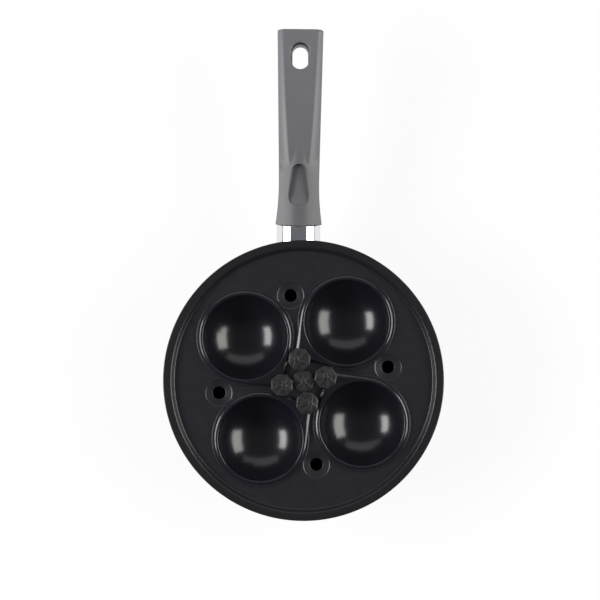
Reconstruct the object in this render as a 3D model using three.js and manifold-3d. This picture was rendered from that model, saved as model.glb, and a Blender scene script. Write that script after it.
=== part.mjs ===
// Four-cup egg pan: a shallow pan with a handle, a lift-out tray and four lift-out egg cups.
// Millimetres, +Z up, origin at the centre of the pan's base, handle towards +Y.

import * as THREE from 'three';
import { LoftGeometry } from 'three/addons/geometries/LoftGeometry.js';
import { mergeVertices } from 'three/addons/utils/BufferGeometryUtils.js';
import Module from 'manifold-3d';

// Pan body
const PAN_RIM_RADIUS = 100;
const PAN_HEIGHT = 58;
const PAN_SHEET = 2.7;
const PAN_TAPER = THREE.MathUtils.degToRad(9);
const PAN_CORNER_RADIUS = 14;

// Tray, a pressed plate that hangs in the pan by its flange
const TRAY_SHEET = 1.2;
const TRAY_OVERHANG = 1.3;
const TRAY_STEP_DEPTH = 3.8;
const TRAY_STEP_ANGLE = THREE.MathUtils.degToRad(65);
const TRAY_BEND_RADIUS = 1.6;
const TRAY_RIM_CLEARANCE = 0.75;
const SEAT_RISE = 0.8;
const SEAT_MARGIN = 1.3;
const SEAT_SLOPE = 0.9;
const SEAT_HOLE_CLEARANCE = 0.5;

// Steam vents, dished holes between the cups
const VENT_CIRCLE_RADIUS = 62;
const VENT_FIRST_ANGLE = THREE.MathUtils.degToRad(-6.5);
const VENT_HOLE_RADIUS = 4.6;
const VENT_DISH_RADIUS = 9;
const VENT_DISH_DEPTH = 1.8;

// Egg cups: angles run clockwise from the handle, seen from above
const CUP_COUNT = 4;
const CUP_CIRCLE_RADIUS = 52.4;
const CUP_FIRST_ANGLE = THREE.MathUtils.degToRad(38.7);
const CUP_RIM_RADIUS = 33.3;
const CUP_MOUTH_RADIUS = 30.3;
const CUP_DEPTH = 20.7;
const CUP_SHEET = 0.8;
const CUP_RIM_HEIGHT = 2.2;
const CUP_LIP_RADIUS = 1.5;
const CUP_BEVEL_WIDTH = 1.1;
const CUP_BEVEL_DROP = 0.65;
const CUP_TAB_TIP_RADIUS = 3.4;
const CUP_TAB_KNOB_SIDE_RADIUS = 1;
const CUP_TAB_END_RADIUS = 4.6;
const CUP_TURNS = [0, 0, 0.7, 0.8].map(THREE.MathUtils.degToRad);

// Knobs, eight-sided, one on each cup's tab and one at the tray's centre
const KNOB_CIRCLE_RADIUS = 16.1;
const KNOB_FIRST_ANGLE = THREE.MathUtils.degToRad(-8.4);
const KNOB_SIDES = 8;
const KNOB_RADIUS = 8.4;
const KNOB_FOOT_RADIUS = 4.4;
const KNOB_FOOT_HEIGHT = 1.2;
const KNOB_BAND_HEIGHT = 8.7;
const KNOB_BEVEL = 0.7;
const KNOB_HEIGHT = 11.4;
const KNOB_CROWN_RADIUS = 1.2;
const KNOB_TURNS = [13, 9, 14, 18].map(THREE.MathUtils.degToRad);
const TRAY_KNOB_TURN = THREE.MathUtils.degToRad(2);

// Knob screws, each up through the sheet into its knob
const KNOB_SCREW_RADIUS = 1.4;
const KNOB_SCREW_REACH = 6.5;
const KNOB_SCREW_HEAD_RADIUS = 2.6;
const KNOB_SCREW_HEAD = 1.1;

// Handle: the drop is from the rim to its axis at the wall, the slope is at the wall, the swing is
// clockwise from straight out, seen from above, and the grip bends down from the slope towards level
const HANDLE_DROP = 18;
const HANDLE_SLOPE = THREE.MathUtils.degToRad(12);
const HANDLE_SWING = THREE.MathUtils.degToRad(2.8);
const GRIP_BEND = THREE.MathUtils.degToRad(11);
const GRIP_LENGTH = 139;
const GRIP_FRONT_HALF_WIDTH = 17;
const GRIP_NECK_HALF_WIDTH = 14.65;
const GRIP_END_HALF_WIDTH = 16.5;
const GRIP_NECK_SHARE = 0.22;
const GRIP_PANEL_FRONT = 5.3;
const GRIP_PANEL_NEAR = 6.7;
const GRIP_PANEL_END = 12.6;
const GRIP_PANEL_SHARE = 0.33;
const GRIP_FRONT_TOP = 10.5;
const GRIP_HUMP_TOP = 9.5;
const GRIP_PANEL_TOP = 7.8;
const GRIP_END_TOP = 7.3;
const GRIP_HUMP_SHARE = 0.31;
const GRIP_FALL_SHARE = 0.42;
const GRIP_FRONT_BOTTOM = -10.5;
const GRIP_END_BOTTOM = -7.7;
const GRIP_BEVEL_SLOPE = 0.7;
const GRIP_SHOULDER = 1.8;
const GRIP_END_ROUND = 1.5;
const GRIP_FLARE_POWER = 2;
const GRIP_WIDENING_POWER = 1.1;
const GRIP_PANEL_POWER = 0.8;
const GRIP_STATIONS = 16;

// Underside of the grip: shares of its half width and of its depth below the centreline
const GRIP_SIDE_DEPTH = 0.33;
const GRIP_HEEL_WIDTH = 0.86;
const GRIP_HEEL_DEPTH = 0.75;
const GRIP_SOLE_WIDTH = 0.5;

// Thumb dish and hanging slot of the grip: places along it are shares of its length
const THUMB_NEAR_SHARE = 0.16;
const THUMB_FAR_SHARE = 0.28;
const THUMB_NEAR_RADIUS = 7.6;
const THUMB_FAR_RADIUS = 5.3;
const THUMB_DEPTH = 4.4;
const SLOT_SHARE = 0.861;
const SLOT_WIDTH = 12.5;
const SLOT_LENGTH = 19.5;

// Ferrule, bracket, rivets and handle screw
const FERRULE_LENGTH = 17.2;
const FERRULE_SHEET = 1.2;
const FERRULE_WIDTH_SHARE = 0.945;
const FOOT_LENGTH = 24.6;
const FOOT_HEIGHT = 8.4;
const FOOT_THICKNESS = 2.5;
const TONGUE_WIDTH = 11;
const TONGUE_THICKNESS = 5;
const TONGUE_REACH = 42;
const RIVET_SPREAD = 17.2;
const RIVET_RADIUS = 1.8;
const RIVET_TAIL_RADIUS = 2.5;
const RIVET_HEAD_RADIUS = 3.6;
const RIVET_HEAD = 1.5;
const HANDLE_SCREW_AT = 30;
const HANDLE_SCREW_RADIUS = 1.8;
const HANDLE_SCREW_HEAD_RADIUS = 3.4;
const HANDLE_SCREW_HEAD = 1.8;

// Gap between pieces that don't rest flat on each other, and how far cutters run past what they cut
const GAP = 0.3;
const PAST = 2;
const DRIVE_SLOT_WIDTH = 0.9;
const DRIVE_SLOT_DEPTH = 0.5;

// Sides of round pieces
const PAN_SIDES = 60;
const CUP_SIDES = 30;
const BORE_SIDES = 20;
const SMALL_SIDES = 12;
const BEND_STEPS = 2;
const CORNER_STEPS = 4;
const BOWL_STEPS = 6;

// Heights that follow from the sizes above
const FLANGE_TOP = PAN_HEIGHT + TRAY_SHEET;
const PLATE_TOP = FLANGE_TOP - TRAY_STEP_DEPTH;
const PLATE_UNDERSIDE = PLATE_TOP - TRAY_SHEET;
const SEAT_HEIGHT = PLATE_TOP + SEAT_RISE;
const HANDLE_HEIGHT = PAN_HEIGHT - HANDLE_DROP;
const TAB_UNDERSIDE = CUP_RIM_HEIGHT - CUP_SHEET;

const wasm = await Module();
wasm.setup();

// Solids: closed three.js geometry in, closed geometry out

function toSolid(geometry) {
  const bare = new THREE.BufferGeometry().copy(geometry);
  bare.deleteAttribute('normal');
  bare.deleteAttribute('uv');
  const merged = mergeVertices(bare);
  const index = merged.index.array;
  const triangles = [];
  for (let i = 0; i < index.length; i += 3) {
    const [a, b, c] = index.slice(i, i + 3);
    if (a !== b && b !== c && c !== a) triangles.push(a, b, c);
  }
  return new wasm.Manifold(new wasm.Mesh({
    numProp: 3,
    vertProperties: new Float32Array(merged.attributes.position.array),
    triVerts: new Uint32Array(triangles),
  }));
}

function toGeometry(solid) {
  const mesh = solid.getMesh();
  const geometry = new THREE.BufferGeometry();
  geometry.setAttribute('position', new THREE.BufferAttribute(mesh.vertProperties, 3));
  geometry.setIndex(new THREE.BufferAttribute(mesh.triVerts, 1));
  geometry.computeVertexNormals();
  return geometry;
}

// A profile of [radius, height] points from axis to axis, turned about Z
function revolve(profile, sides) {
  const points = profile.map(([radius, height]) => new THREE.Vector2(radius, height));
  return new THREE.LatheGeometry(points, sides).rotateX(Math.PI / 2);
}

function cylinder(radius, bottom, top, sides = BORE_SIDES) {
  return revolve([[0, bottom], [radius, bottom], [radius, top], [0, top]], sides);
}

function box(width, bottomToTop, nearToFar) {
  const [bottom, top] = bottomToTop;
  const [near, far] = nearToFar;
  return new THREE.BoxGeometry(width, far - near, top - bottom)
    .translate(0, (near + far) / 2, (bottom + top) / 2);
}

function prism(outline, bottom, top) {
  const levels = [bottom, top].map((height) => lift(outline, height));
  return new LoftGeometry(levels, { capStart: true, capEnd: true });
}

function lift(outline, height) {
  return outline.map((point) => new THREE.Vector3(point.x, point.y, height));
}

function arc(centreX, centreY, radius, from, to, steps) {
  const points = [];
  for (let i = 0; i <= steps; i += 1) {
    const angle = from + (to - from) * i / steps;
    points.push(new THREE.Vector2(centreX + radius * Math.cos(angle), centreY + radius * Math.sin(angle)));
  }
  return points;
}

function pairs(points) {
  return points.map((point) => [point.x, point.y]);
}

// A round outline about the origin drawn out along +X to a tip, whose sides run to a radius each;
// the tip may end in a wider disc
function drawnOutline(radius, tipRadius, reach, endRadius = tipRadius, leftTipRadius = tipRadius) {
  const touch = (side) => Math.acos((radius - side) / reach);
  const spread = (side) => touch(side) + Math.acos(side / endRadius);
  const tip = arc(reach, 0, endRadius, -spread(tipRadius), spread(leftTipRadius), 2 * CORNER_STEPS);
  const round = arc(
    0, 0, radius, touch(leftTipRadius), 2 * Math.PI - touch(tipRadius), CUP_SIDES - CORNER_STEPS,
  );
  return [...tip, ...round];
}

// A straight outline along Y with half-round ends
function roundedBar(length, width) {
  const radius = width / 2;
  const straight = length / 2 - radius;
  return [
    ...arc(0, straight, radius, 0, Math.PI, 2 * CORNER_STEPS),
    ...arc(0, -straight, radius, Math.PI, 2 * Math.PI, 2 * CORNER_STEPS),
  ];
}

// A place on a circle about Z, at an angle clockwise from +Y
function onCircle(radius, angle) {
  return new THREE.Vector3(radius * Math.sin(angle), radius * Math.cos(angle), 0);
}

function quarter(index) {
  return index * 2 * Math.PI / CUP_COUNT;
}

// Materials: colour, roughness and metalness as in the photograph
function blackCoat() {
  return new THREE.MeshStandardMaterial({ color: 0x29282d, roughness: 0.5, metalness: 0.2 });
}

function glossCoat() {
  return new THREE.MeshStandardMaterial({ color: 0x17161a, roughness: 0.2, metalness: 0.2 });
}

function knobPlastic() {
  return new THREE.MeshStandardMaterial({ color: 0x3c3c40, roughness: 0.45, metalness: 0 });
}

function gripPlastic() {
  return new THREE.MeshStandardMaterial({ color: 0x77777c, roughness: 0.6, metalness: 0 });
}

function chrome() {
  return new THREE.MeshStandardMaterial({ color: 0xd8d9dc, roughness: 0.1, metalness: 1 });
}

function steel() {
  return new THREE.MeshStandardMaterial({ color: 0xa9abae, roughness: 0.35, metalness: 1 });
}

function mesh(name, solid, material) {
  const made = new THREE.Mesh(toGeometry(solid), material);
  made.name = name;
  return made;
}

// Pan body: one line of sheet, moved outwards by an offset, from the axis to the rim

const cornerCentre = PAN_RIM_RADIUS
  - (PAN_HEIGHT - PAN_CORNER_RADIUS) * Math.tan(PAN_TAPER)
  - PAN_CORNER_RADIUS / Math.cos(PAN_TAPER);

function panLine(offset) {
  const bend = PAN_CORNER_RADIUS + offset;
  const corner = arc(cornerCentre, PAN_CORNER_RADIUS, bend, -Math.PI / 2, -PAN_TAPER, CORNER_STEPS);
  return [[0, -offset], ...pairs(corner), [rimRadius(offset), PAN_HEIGHT]];
}

function rimRadius(offset) {
  return PAN_RIM_RADIUS + offset / Math.cos(PAN_TAPER);
}

// The space that the pan fills, grown by the gap, for cutting what stands against its wall
function panClearance() {
  return toSolid(revolve([...panLine(GAP), [0, PAN_HEIGHT]], PAN_SIDES));
}

function panBody() {
  let solid = toSolid(revolve([...panLine(0), ...panLine(-PAN_SHEET).reverse()], PAN_SIDES));
  for (const side of [-1, 1]) solid = solid.subtract(rivetBore(side));
  return mesh('pan_body', solid, blackCoat());
}

// Tray: its sheet line, moved down by an offset, from the axis out to the flange's edge

const flangeInner = rimRadius(-PAN_SHEET) - TRAY_RIM_CLEARANCE;
const bendRise = TRAY_BEND_RADIUS * (1 - Math.cos(TRAY_STEP_ANGLE));
const bendRun = TRAY_BEND_RADIUS * Math.sin(TRAY_STEP_ANGLE);
const stepRun = 2 * bendRun + (TRAY_STEP_DEPTH - 2 * bendRise) / Math.tan(TRAY_STEP_ANGLE);
const flangeOuter = PAN_RIM_RADIUS + TRAY_OVERHANG;

function trayLine(offset) {
  const quarterTurn = Math.PI / 2;
  const low = arc(
    flangeInner - stepRun, PLATE_TOP + TRAY_BEND_RADIUS, TRAY_BEND_RADIUS + offset,
    -quarterTurn, TRAY_STEP_ANGLE - quarterTurn, BEND_STEPS,
  );
  const high = arc(
    flangeInner, FLANGE_TOP - TRAY_BEND_RADIUS, TRAY_BEND_RADIUS - offset,
    quarterTurn + TRAY_STEP_ANGLE, quarterTurn, BEND_STEPS,
  );
  return [[0, PLATE_TOP - offset], ...pairs(low), ...pairs(high), [flangeOuter, FLANGE_TOP - offset]];
}

// A cup's tab is cut back on the side where the next cup's knob stands, so that it lifts past that knob
function cupOutline(offset) {
  return drawnOutline(
    CUP_RIM_RADIUS + offset, CUP_TAB_TIP_RADIUS + offset, tabReach,
    CUP_TAB_END_RADIUS + offset, CUP_TAB_KNOB_SIDE_RADIUS + offset,
  );
}

// A cup's raised seat in the tray, in the cup's own frame: what is pressed up, and what is cut away
const seatRadius = CUP_RIM_RADIUS + SEAT_MARGIN;

function seatPad() {
  const inside = -SEAT_RISE - TRAY_SHEET / 2;
  const foot = seatRadius + SEAT_SLOPE;
  const profile = [[0, inside], [foot, inside], [foot, -SEAT_RISE], [seatRadius, 0], [0, 0]];
  return toSolid(revolve(profile, CUP_SIDES));
}

function seatCut() {
  const below = -SEAT_RISE - TRAY_SHEET - PAST;
  const hollow = cylinder(seatRadius, below, -TRAY_SHEET, CUP_SIDES);
  const hole = cylinder(bowlRadiusAtSeat + SEAT_HOLE_CLEARANCE, below, PAST, CUP_SIDES);
  return toSolid(hollow).add(toSolid(hole));
}

function ventPad() {
  const bottom = PLATE_UNDERSIDE - VENT_DISH_DEPTH;
  const inside = PLATE_UNDERSIDE + TRAY_SHEET / 2;
  const edge = VENT_DISH_RADIUS + TRAY_SHEET / 2;
  const profile = [[0, bottom], [VENT_HOLE_RADIUS + TRAY_SHEET, bottom], [edge, inside], [0, inside]];
  return revolve(profile, BORE_SIDES);
}

function ventCut() {
  const floor = PLATE_TOP - VENT_DISH_DEPTH;
  const below = floor - TRAY_SHEET - PAST;
  const above = PLATE_TOP + PAST;
  return revolve([
    [0, below], [VENT_HOLE_RADIUS, below], [VENT_HOLE_RADIUS, floor],
    [VENT_DISH_RADIUS, PLATE_TOP], [VENT_DISH_RADIUS, above], [0, above],
  ], BORE_SIDES);
}

function tray() {
  const places = [...Array(CUP_COUNT).keys()];
  const vents = places.map((index) => onCircle(VENT_CIRCLE_RADIUS, VENT_FIRST_ANGLE + quarter(index)));
  let solid = toSolid(revolve([...trayLine(TRAY_SHEET), ...trayLine(0).reverse()], PAN_SIDES));
  for (const place of places) solid = solid.add(placed(seatPad(), cupFrame(place)));
  for (const vent of vents) solid = solid.add(toSolid(ventPad().translate(vent.x, vent.y, 0)));
  for (const place of places) solid = solid.subtract(placed(seatCut(), cupFrame(place)));
  for (const vent of vents) solid = solid.subtract(toSolid(ventCut().translate(vent.x, vent.y, 0)));
  const bore = cylinder(KNOB_SCREW_RADIUS + GAP, PLATE_UNDERSIDE - PAST, PLATE_TOP + PAST);
  return mesh('tray', solid.subtract(toSolid(bore)), blackCoat());
}

function placed(solid, frame) {
  return solid.transform(frame.elements);
}

// Cups: in a cup's own frame the tab points along +X and the seat is at height 0

const tabReach = onCircle(CUP_CIRCLE_RADIUS, CUP_FIRST_ANGLE)
  .distanceTo(onCircle(KNOB_CIRCLE_RADIUS, KNOB_FIRST_ANGLE));
const bowlDepth = CUP_DEPTH - CUP_LIP_RADIUS;
const bowlRadius = (CUP_MOUTH_RADIUS ** 2 + bowlDepth ** 2) / (2 * bowlDepth);
const bowlCentre = CUP_RIM_HEIGHT - CUP_DEPTH + bowlRadius;
const bowlRadiusAtSeat = Math.sqrt((bowlRadius + CUP_SHEET) ** 2 - bowlCentre ** 2);

function cupCentre(index) {
  return onCircle(CUP_CIRCLE_RADIUS, CUP_FIRST_ANGLE + quarter(index));
}

// Direction of the tab, from the cup's centre to its knob; each cup can be turned in its round seat
function cupTurn(index) {
  const tab = onCircle(KNOB_CIRCLE_RADIUS, KNOB_FIRST_ANGLE + quarter(index)).sub(cupCentre(index));
  return Math.atan2(tab.y, tab.x) + CUP_TURNS[index];
}

function cupFrame(index) {
  const centre = cupCentre(index).setZ(SEAT_HEIGHT);
  return new THREE.Matrix4().makeRotationZ(cupTurn(index)).setPosition(centre);
}

function bowlArc(radius, height) {
  const rise = Math.asin((height - bowlCentre) / radius);
  return pairs(arc(0, bowlCentre, radius, -Math.PI / 2, rise, BOWL_STEPS));
}

function cupFlange() {
  const levels = [[0, 0], [0, CUP_RIM_HEIGHT - CUP_BEVEL_DROP], [-CUP_BEVEL_WIDTH, CUP_RIM_HEIGHT]];
  const sections = levels.map(([offset, height]) => lift(cupOutline(offset), height));
  return toSolid(new LoftGeometry(sections, { capStart: true, capEnd: true }));
}

// The tab is sheet with a turned-down edge, so it is hollow from below
function tabHollow() {
  const under = toSolid(prism(cupOutline(-CUP_SHEET), -PAST, TAB_UNDERSIDE));
  return under.subtract(toSolid(cylinder(CUP_RIM_RADIUS, -2 * PAST, CUP_RIM_HEIGHT, CUP_SIDES)));
}

function cupSolid() {
  const outside = bowlArc(bowlRadius + CUP_SHEET, TAB_UNDERSIDE);
  const shell = revolve([...outside, [0, TAB_UNDERSIDE]], CUP_SIDES);
  const lip = arc(
    CUP_MOUTH_RADIUS + CUP_LIP_RADIUS, CUP_RIM_HEIGHT - CUP_LIP_RADIUS, CUP_LIP_RADIUS,
    Math.PI, Math.PI / 2, BEND_STEPS,
  );
  const inside = bowlArc(bowlRadius, CUP_RIM_HEIGHT - CUP_LIP_RADIUS).slice(0, -1);
  const above = CUP_RIM_HEIGHT + PAST;
  const mouth = CUP_MOUTH_RADIUS + CUP_LIP_RADIUS;
  const hollow = revolve([...inside, ...pairs(lip), [mouth, above], [0, above]], CUP_SIDES);
  const bore = cylinder(KNOB_SCREW_RADIUS + GAP, -PAST, above).translate(tabReach, 0, 0);
  return cupFlange()
    .subtract(tabHollow())
    .add(toSolid(shell))
    .subtract(toSolid(hollow))
    .subtract(toSolid(bore));
}

// Knobs and their screws, each standing on height 0

function knobSolid() {
  const shoulder = KNOB_BAND_HEIGHT + KNOB_BEVEL;
  const body = revolve([
    [0, 0], [KNOB_FOOT_RADIUS, 0], [KNOB_FOOT_RADIUS, KNOB_FOOT_HEIGHT],
    [KNOB_RADIUS, KNOB_BAND_HEIGHT], [KNOB_RADIUS, shoulder],
    [KNOB_RADIUS - KNOB_BEVEL, shoulder + KNOB_BEVEL],
    [KNOB_CROWN_RADIUS, KNOB_HEIGHT], [0, KNOB_HEIGHT],
  ], KNOB_SIDES);
  const bore = cylinder(KNOB_SCREW_RADIUS + GAP, -PAST, KNOB_SCREW_REACH + GAP, SMALL_SIDES);
  return toSolid(body).subtract(toSolid(bore));
}

// A slotted screw up the Z axis, its head's upper face at height 0
function screwSolid(radius, reach, headRadius, head) {
  const shape = revolve([
    [0, -head], [headRadius, -head], [headRadius, 0], [radius, 0], [radius, reach], [0, reach],
  ], SMALL_SIDES);
  const across = 2 * headRadius;
  const slot = box(DRIVE_SLOT_WIDTH, [-head - PAST, DRIVE_SLOT_DEPTH - head], [-across, across]);
  return toSolid(shape).subtract(toSolid(slot));
}

function knobScrew(name, sheet) {
  const reach = KNOB_SCREW_REACH + sheet;
  const solid = screwSolid(KNOB_SCREW_RADIUS, reach, KNOB_SCREW_HEAD_RADIUS, KNOB_SCREW_HEAD);
  return mesh(name, solid, steel());
}

function cupSet(index) {
  const name = `cup_${index + 1}`;
  const set = new THREE.Group();
  set.applyMatrix4(cupFrame(index));
  const knob = mesh(`${name}_knob`, knobSolid(), knobPlastic());
  knob.position.set(tabReach, 0, CUP_RIM_HEIGHT);
  knob.rotation.z = KNOB_TURNS[index] - cupTurn(index);
  const screw = knobScrew(`${name}_knob_screw`, CUP_SHEET);
  screw.position.set(tabReach, 0, TAB_UNDERSIDE);
  set.add(mesh(name, cupSolid(), glossCoat()), knob, screw);
  return set;
}

function traySet() {
  const set = new THREE.Group();
  const knob = mesh('tray_knob', knobSolid(), knobPlastic());
  knob.position.z = PLATE_TOP;
  knob.rotation.z = TRAY_KNOB_TURN;
  const screw = knobScrew('tray_knob_screw', TRAY_SHEET);
  screw.position.z = PLATE_UNDERSIDE;
  set.add(tray(), knob, screw);
  return set;
}

// Handle: in its own frame +Y runs out along the handle from the wall and +Z is its upper side

const wallRadius = PAN_RIM_RADIUS - HANDLE_DROP * Math.tan(PAN_TAPER);
const handleFrame = new THREE.Matrix4()
  .makeRotationZ(-HANDLE_SWING)
  .multiply(new THREE.Matrix4().makeRotationX(HANDLE_SLOPE))
  .setPosition(0, wallRadius, HANDLE_HEIGHT);

// A frame on the wall whose +Y points straight out of it, turned clockwise round the pan
function wallFrame(angle) {
  const place = onCircle(wallRadius, angle);
  const turn = new THREE.Matrix4().makeRotationZ(-angle);
  const tilt = new THREE.Matrix4().makeRotationX(-PAN_TAPER);
  return turn.multiply(tilt).setPosition(place.x, place.y, HANDLE_HEIGHT);
}

function rivetFrame(side) {
  return wallFrame(side * Math.asin(RIVET_SPREAD / 2 / wallRadius));
}

// Rivets lie along their frame's Y, so the lathe's own axis serves
function alongY(profile) {
  const points = profile.map(([radius, place]) => new THREE.Vector2(radius, place));
  return toSolid(new THREE.LatheGeometry(points, SMALL_SIDES));
}

function rivetBore(side) {
  const radius = RIVET_RADIUS + GAP;
  const inside = -PAN_SHEET - PAST;
  const outside = FOOT_THICKNESS + 2 * PAST;
  return placed(alongY([[0, inside], [radius, inside], [radius, outside], [0, outside]]), rivetFrame(side));
}

function rivet(name, side) {
  const inner = -PAN_SHEET - GAP;
  const outer = FOOT_THICKNESS + 2 * GAP;
  const solid = alongY([
    [0, inner - RIVET_HEAD], [RIVET_HEAD_RADIUS / 2, inner - RIVET_HEAD],
    [RIVET_HEAD_RADIUS, inner - RIVET_HEAD / 3], [RIVET_HEAD_RADIUS, inner],
    [RIVET_RADIUS, inner], [RIVET_RADIUS, outer],
    [RIVET_TAIL_RADIUS, outer], [RIVET_TAIL_RADIUS, outer + RIVET_HEAD], [0, outer + RIVET_HEAD],
  ]);
  const made = mesh(name, solid, steel());
  made.applyMatrix4(rivetFrame(side));
  return made;
}

// Half outline of the grip, from the middle of the top round the +X side to the bottom
function gripHalf(share) {
  const half = gripHalfWidth(share);
  const panel = gripPanel(share);
  const top = gripTop(share);
  const bottom = THREE.MathUtils.lerp(GRIP_FRONT_BOTTOM, GRIP_END_BOTTOM, share);
  const bevel = half - panel;
  const edge = top - bevel * GRIP_BEVEL_SLOPE;
  const swell = GRIP_SHOULDER * Math.max(0, 1 - share / GRIP_PANEL_SHARE);
  return [
    [0, top], [panel, top],
    [panel + bevel / 2, (top + edge) / 2 + swell], [half, edge],
    [half, bottom * GRIP_SIDE_DEPTH], [half * GRIP_HEEL_WIDTH, bottom * GRIP_HEEL_DEPTH],
    [half * GRIP_SOLE_WIDTH, bottom], [0, bottom],
  ];
}

// Height of the grip's upper side: a hump at the neck that falls to the flat panel
function gripTop(share) {
  const { mapLinear } = THREE.MathUtils;
  if (share < GRIP_HUMP_SHARE) return mapLinear(share, 0, GRIP_HUMP_SHARE, GRIP_FRONT_TOP, GRIP_HUMP_TOP);
  if (share < GRIP_FALL_SHARE) {
    return mapLinear(share, GRIP_HUMP_SHARE, GRIP_FALL_SHARE, GRIP_HUMP_TOP, GRIP_PANEL_TOP);
  }
  return mapLinear(share, GRIP_FALL_SHARE, 1, GRIP_PANEL_TOP, GRIP_END_TOP);
}

function gripHalfWidth(share) {
  if (share < GRIP_NECK_SHARE) {
    const flare = ((GRIP_NECK_SHARE - share) / GRIP_NECK_SHARE) ** GRIP_FLARE_POWER;
    return THREE.MathUtils.lerp(GRIP_NECK_HALF_WIDTH, GRIP_FRONT_HALF_WIDTH, flare);
  }
  const along = (share - GRIP_NECK_SHARE) / (1 - GRIP_NECK_SHARE);
  return THREE.MathUtils.lerp(GRIP_NECK_HALF_WIDTH, GRIP_END_HALF_WIDTH, along ** GRIP_WIDENING_POWER);
}

function gripPanel(share) {
  if (share < GRIP_PANEL_SHARE) {
    return THREE.MathUtils.lerp(GRIP_PANEL_FRONT, GRIP_PANEL_NEAR, share / GRIP_PANEL_SHARE);
  }
  const along = (share - GRIP_PANEL_SHARE) / (1 - GRIP_PANEL_SHARE);
  return THREE.MathUtils.lerp(GRIP_PANEL_NEAR, GRIP_PANEL_END, along ** GRIP_PANEL_POWER);
}

// The grip's frame at a share of its length: its centreline is an arc that starts at the ferrule's end
function gripFrame(share) {
  const radius = GRIP_LENGTH / GRIP_BEND;
  const bend = GRIP_BEND * share;
  return new THREE.Matrix4().makeRotationX(-bend)
    .setPosition(0, FERRULE_LENGTH + radius * Math.sin(bend), radius * (Math.cos(bend) - 1));
}

function gripSection(share, inset) {
  const half = gripHalf(share);
  const other = half.slice(1, -1).reverse().map(([across, up]) => [-across, up]);
  const frame = gripFrame(share);
  const [widest, tallest] = [gripHalfWidth(share), half[0][1]];
  return [...half, ...other].map(([across, up]) => new THREE.Vector3(
    across * (1 - inset / widest), 0, up * (1 - inset / tallest),
  ).applyMatrix4(frame));
}

function gripBody() {
  const roundShare = GRIP_END_ROUND / GRIP_LENGTH;
  const sections = [];
  for (let i = 0; i <= GRIP_STATIONS; i += 1) {
    sections.push(gripSection((1 - roundShare) * i / GRIP_STATIONS, 0));
  }
  for (const point of arc(0, 0, GRIP_END_ROUND, Math.PI / 4, Math.PI / 2, 1)) {
    const share = 1 - (GRIP_END_ROUND - point.y) / GRIP_LENGTH;
    sections.push(gripSection(share, GRIP_END_ROUND - Math.max(point.x, GRIP_END_ROUND / 3)));
  }
  return toSolid(new LoftGeometry(sections, { capStart: true, capEnd: true }));
}

function thumbDish() {
  const reach = (THUMB_FAR_SHARE - THUMB_NEAR_SHARE) * GRIP_LENGTH;
  const outline = drawnOutline(THUMB_NEAR_RADIUS, THUMB_FAR_RADIUS, reach);
  const top = gripTop(THUMB_FAR_SHARE);
  const cutter = prism(outline, top - THUMB_DEPTH, top + 2 * PAST).rotateZ(Math.PI / 2);
  return placed(toSolid(cutter), gripFrame(THUMB_NEAR_SHARE));
}

function hangingSlot() {
  const cutter = prism(roundedBar(SLOT_LENGTH, SLOT_WIDTH), 2 * GRIP_END_BOTTOM, 2 * GRIP_END_TOP);
  return placed(toSolid(cutter), gripFrame(SLOT_SHARE));
}

function grip() {
  const pocket = box(
    TONGUE_WIDTH + 2 * GAP,
    [-TONGUE_THICKNESS / 2 - GAP, TONGUE_THICKNESS / 2 + GAP],
    [FERRULE_LENGTH - PAST, FERRULE_LENGTH + TONGUE_REACH + GAP],
  );
  const place = FERRULE_LENGTH + HANDLE_SCREW_AT;
  const bore = cylinder(HANDLE_SCREW_RADIUS + GAP, handleScrewSeat, 0, SMALL_SIDES);
  const below = 2 * GRIP_FRONT_BOTTOM;
  const headRoom = cylinder(HANDLE_SCREW_HEAD_RADIUS + GAP, below, handleScrewSeat, SMALL_SIDES);
  const solid = gripBody()
    .subtract(thumbDish())
    .subtract(hangingSlot())
    .subtract(toSolid(pocket))
    .subtract(toSolid(bore.translate(0, place, 0)))
    .subtract(toSolid(headRoom.translate(0, place, 0)));
  return mesh('handle_grip', solid, gripPlastic());
}

// Height of the step under the grip that the handle screw's head pulls against
const handleScrewSeat = (GRIP_FRONT_BOTTOM - TONGUE_THICKNESS / 2) / 2;

function handleScrew() {
  const reach = TONGUE_THICKNESS / 2 - handleScrewSeat;
  const solid = screwSolid(HANDLE_SCREW_RADIUS, reach, HANDLE_SCREW_HEAD_RADIUS, HANDLE_SCREW_HEAD);
  const made = mesh('handle_screw', solid, steel());
  made.position.set(0, FERRULE_LENGTH + HANDLE_SCREW_AT, handleScrewSeat - GAP);
  return made;
}

// Ferrule: the grip's front section as a sleeve, level on top and cut to the pan's wall
function ferrule() {
  const section = (place, inset) => gripSection(0, 0).map((point) => {
    const side = Math.sign(point.x) * Math.min(inset, Math.abs(point.x));
    const rise = point.z > 0 ? (FERRULE_LENGTH - place) * Math.tan(HANDLE_SLOPE) : 0;
    return new THREE.Vector3(
      point.x * FERRULE_WIDTH_SHARE - side,
      place,
      point.z * FERRULE_WIDTH_SHARE - Math.sign(point.z) * inset + rise,
    );
  });
  const sleeve = (inset, from, to) => {
    const sections = [from, to].map((place) => section(place, inset));
    return toSolid(new LoftGeometry(sections, { capStart: true, capEnd: true }));
  };
  const inWall = -FERRULE_LENGTH / 2;
  const solid = sleeve(0, inWall, FERRULE_LENGTH - GAP)
    .subtract(sleeve(FERRULE_SHEET, inWall - PAST, FERRULE_LENGTH + PAST));
  return mesh('ferrule', placed(solid, handleFrame).subtract(panClearance()), chrome());
}

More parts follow.
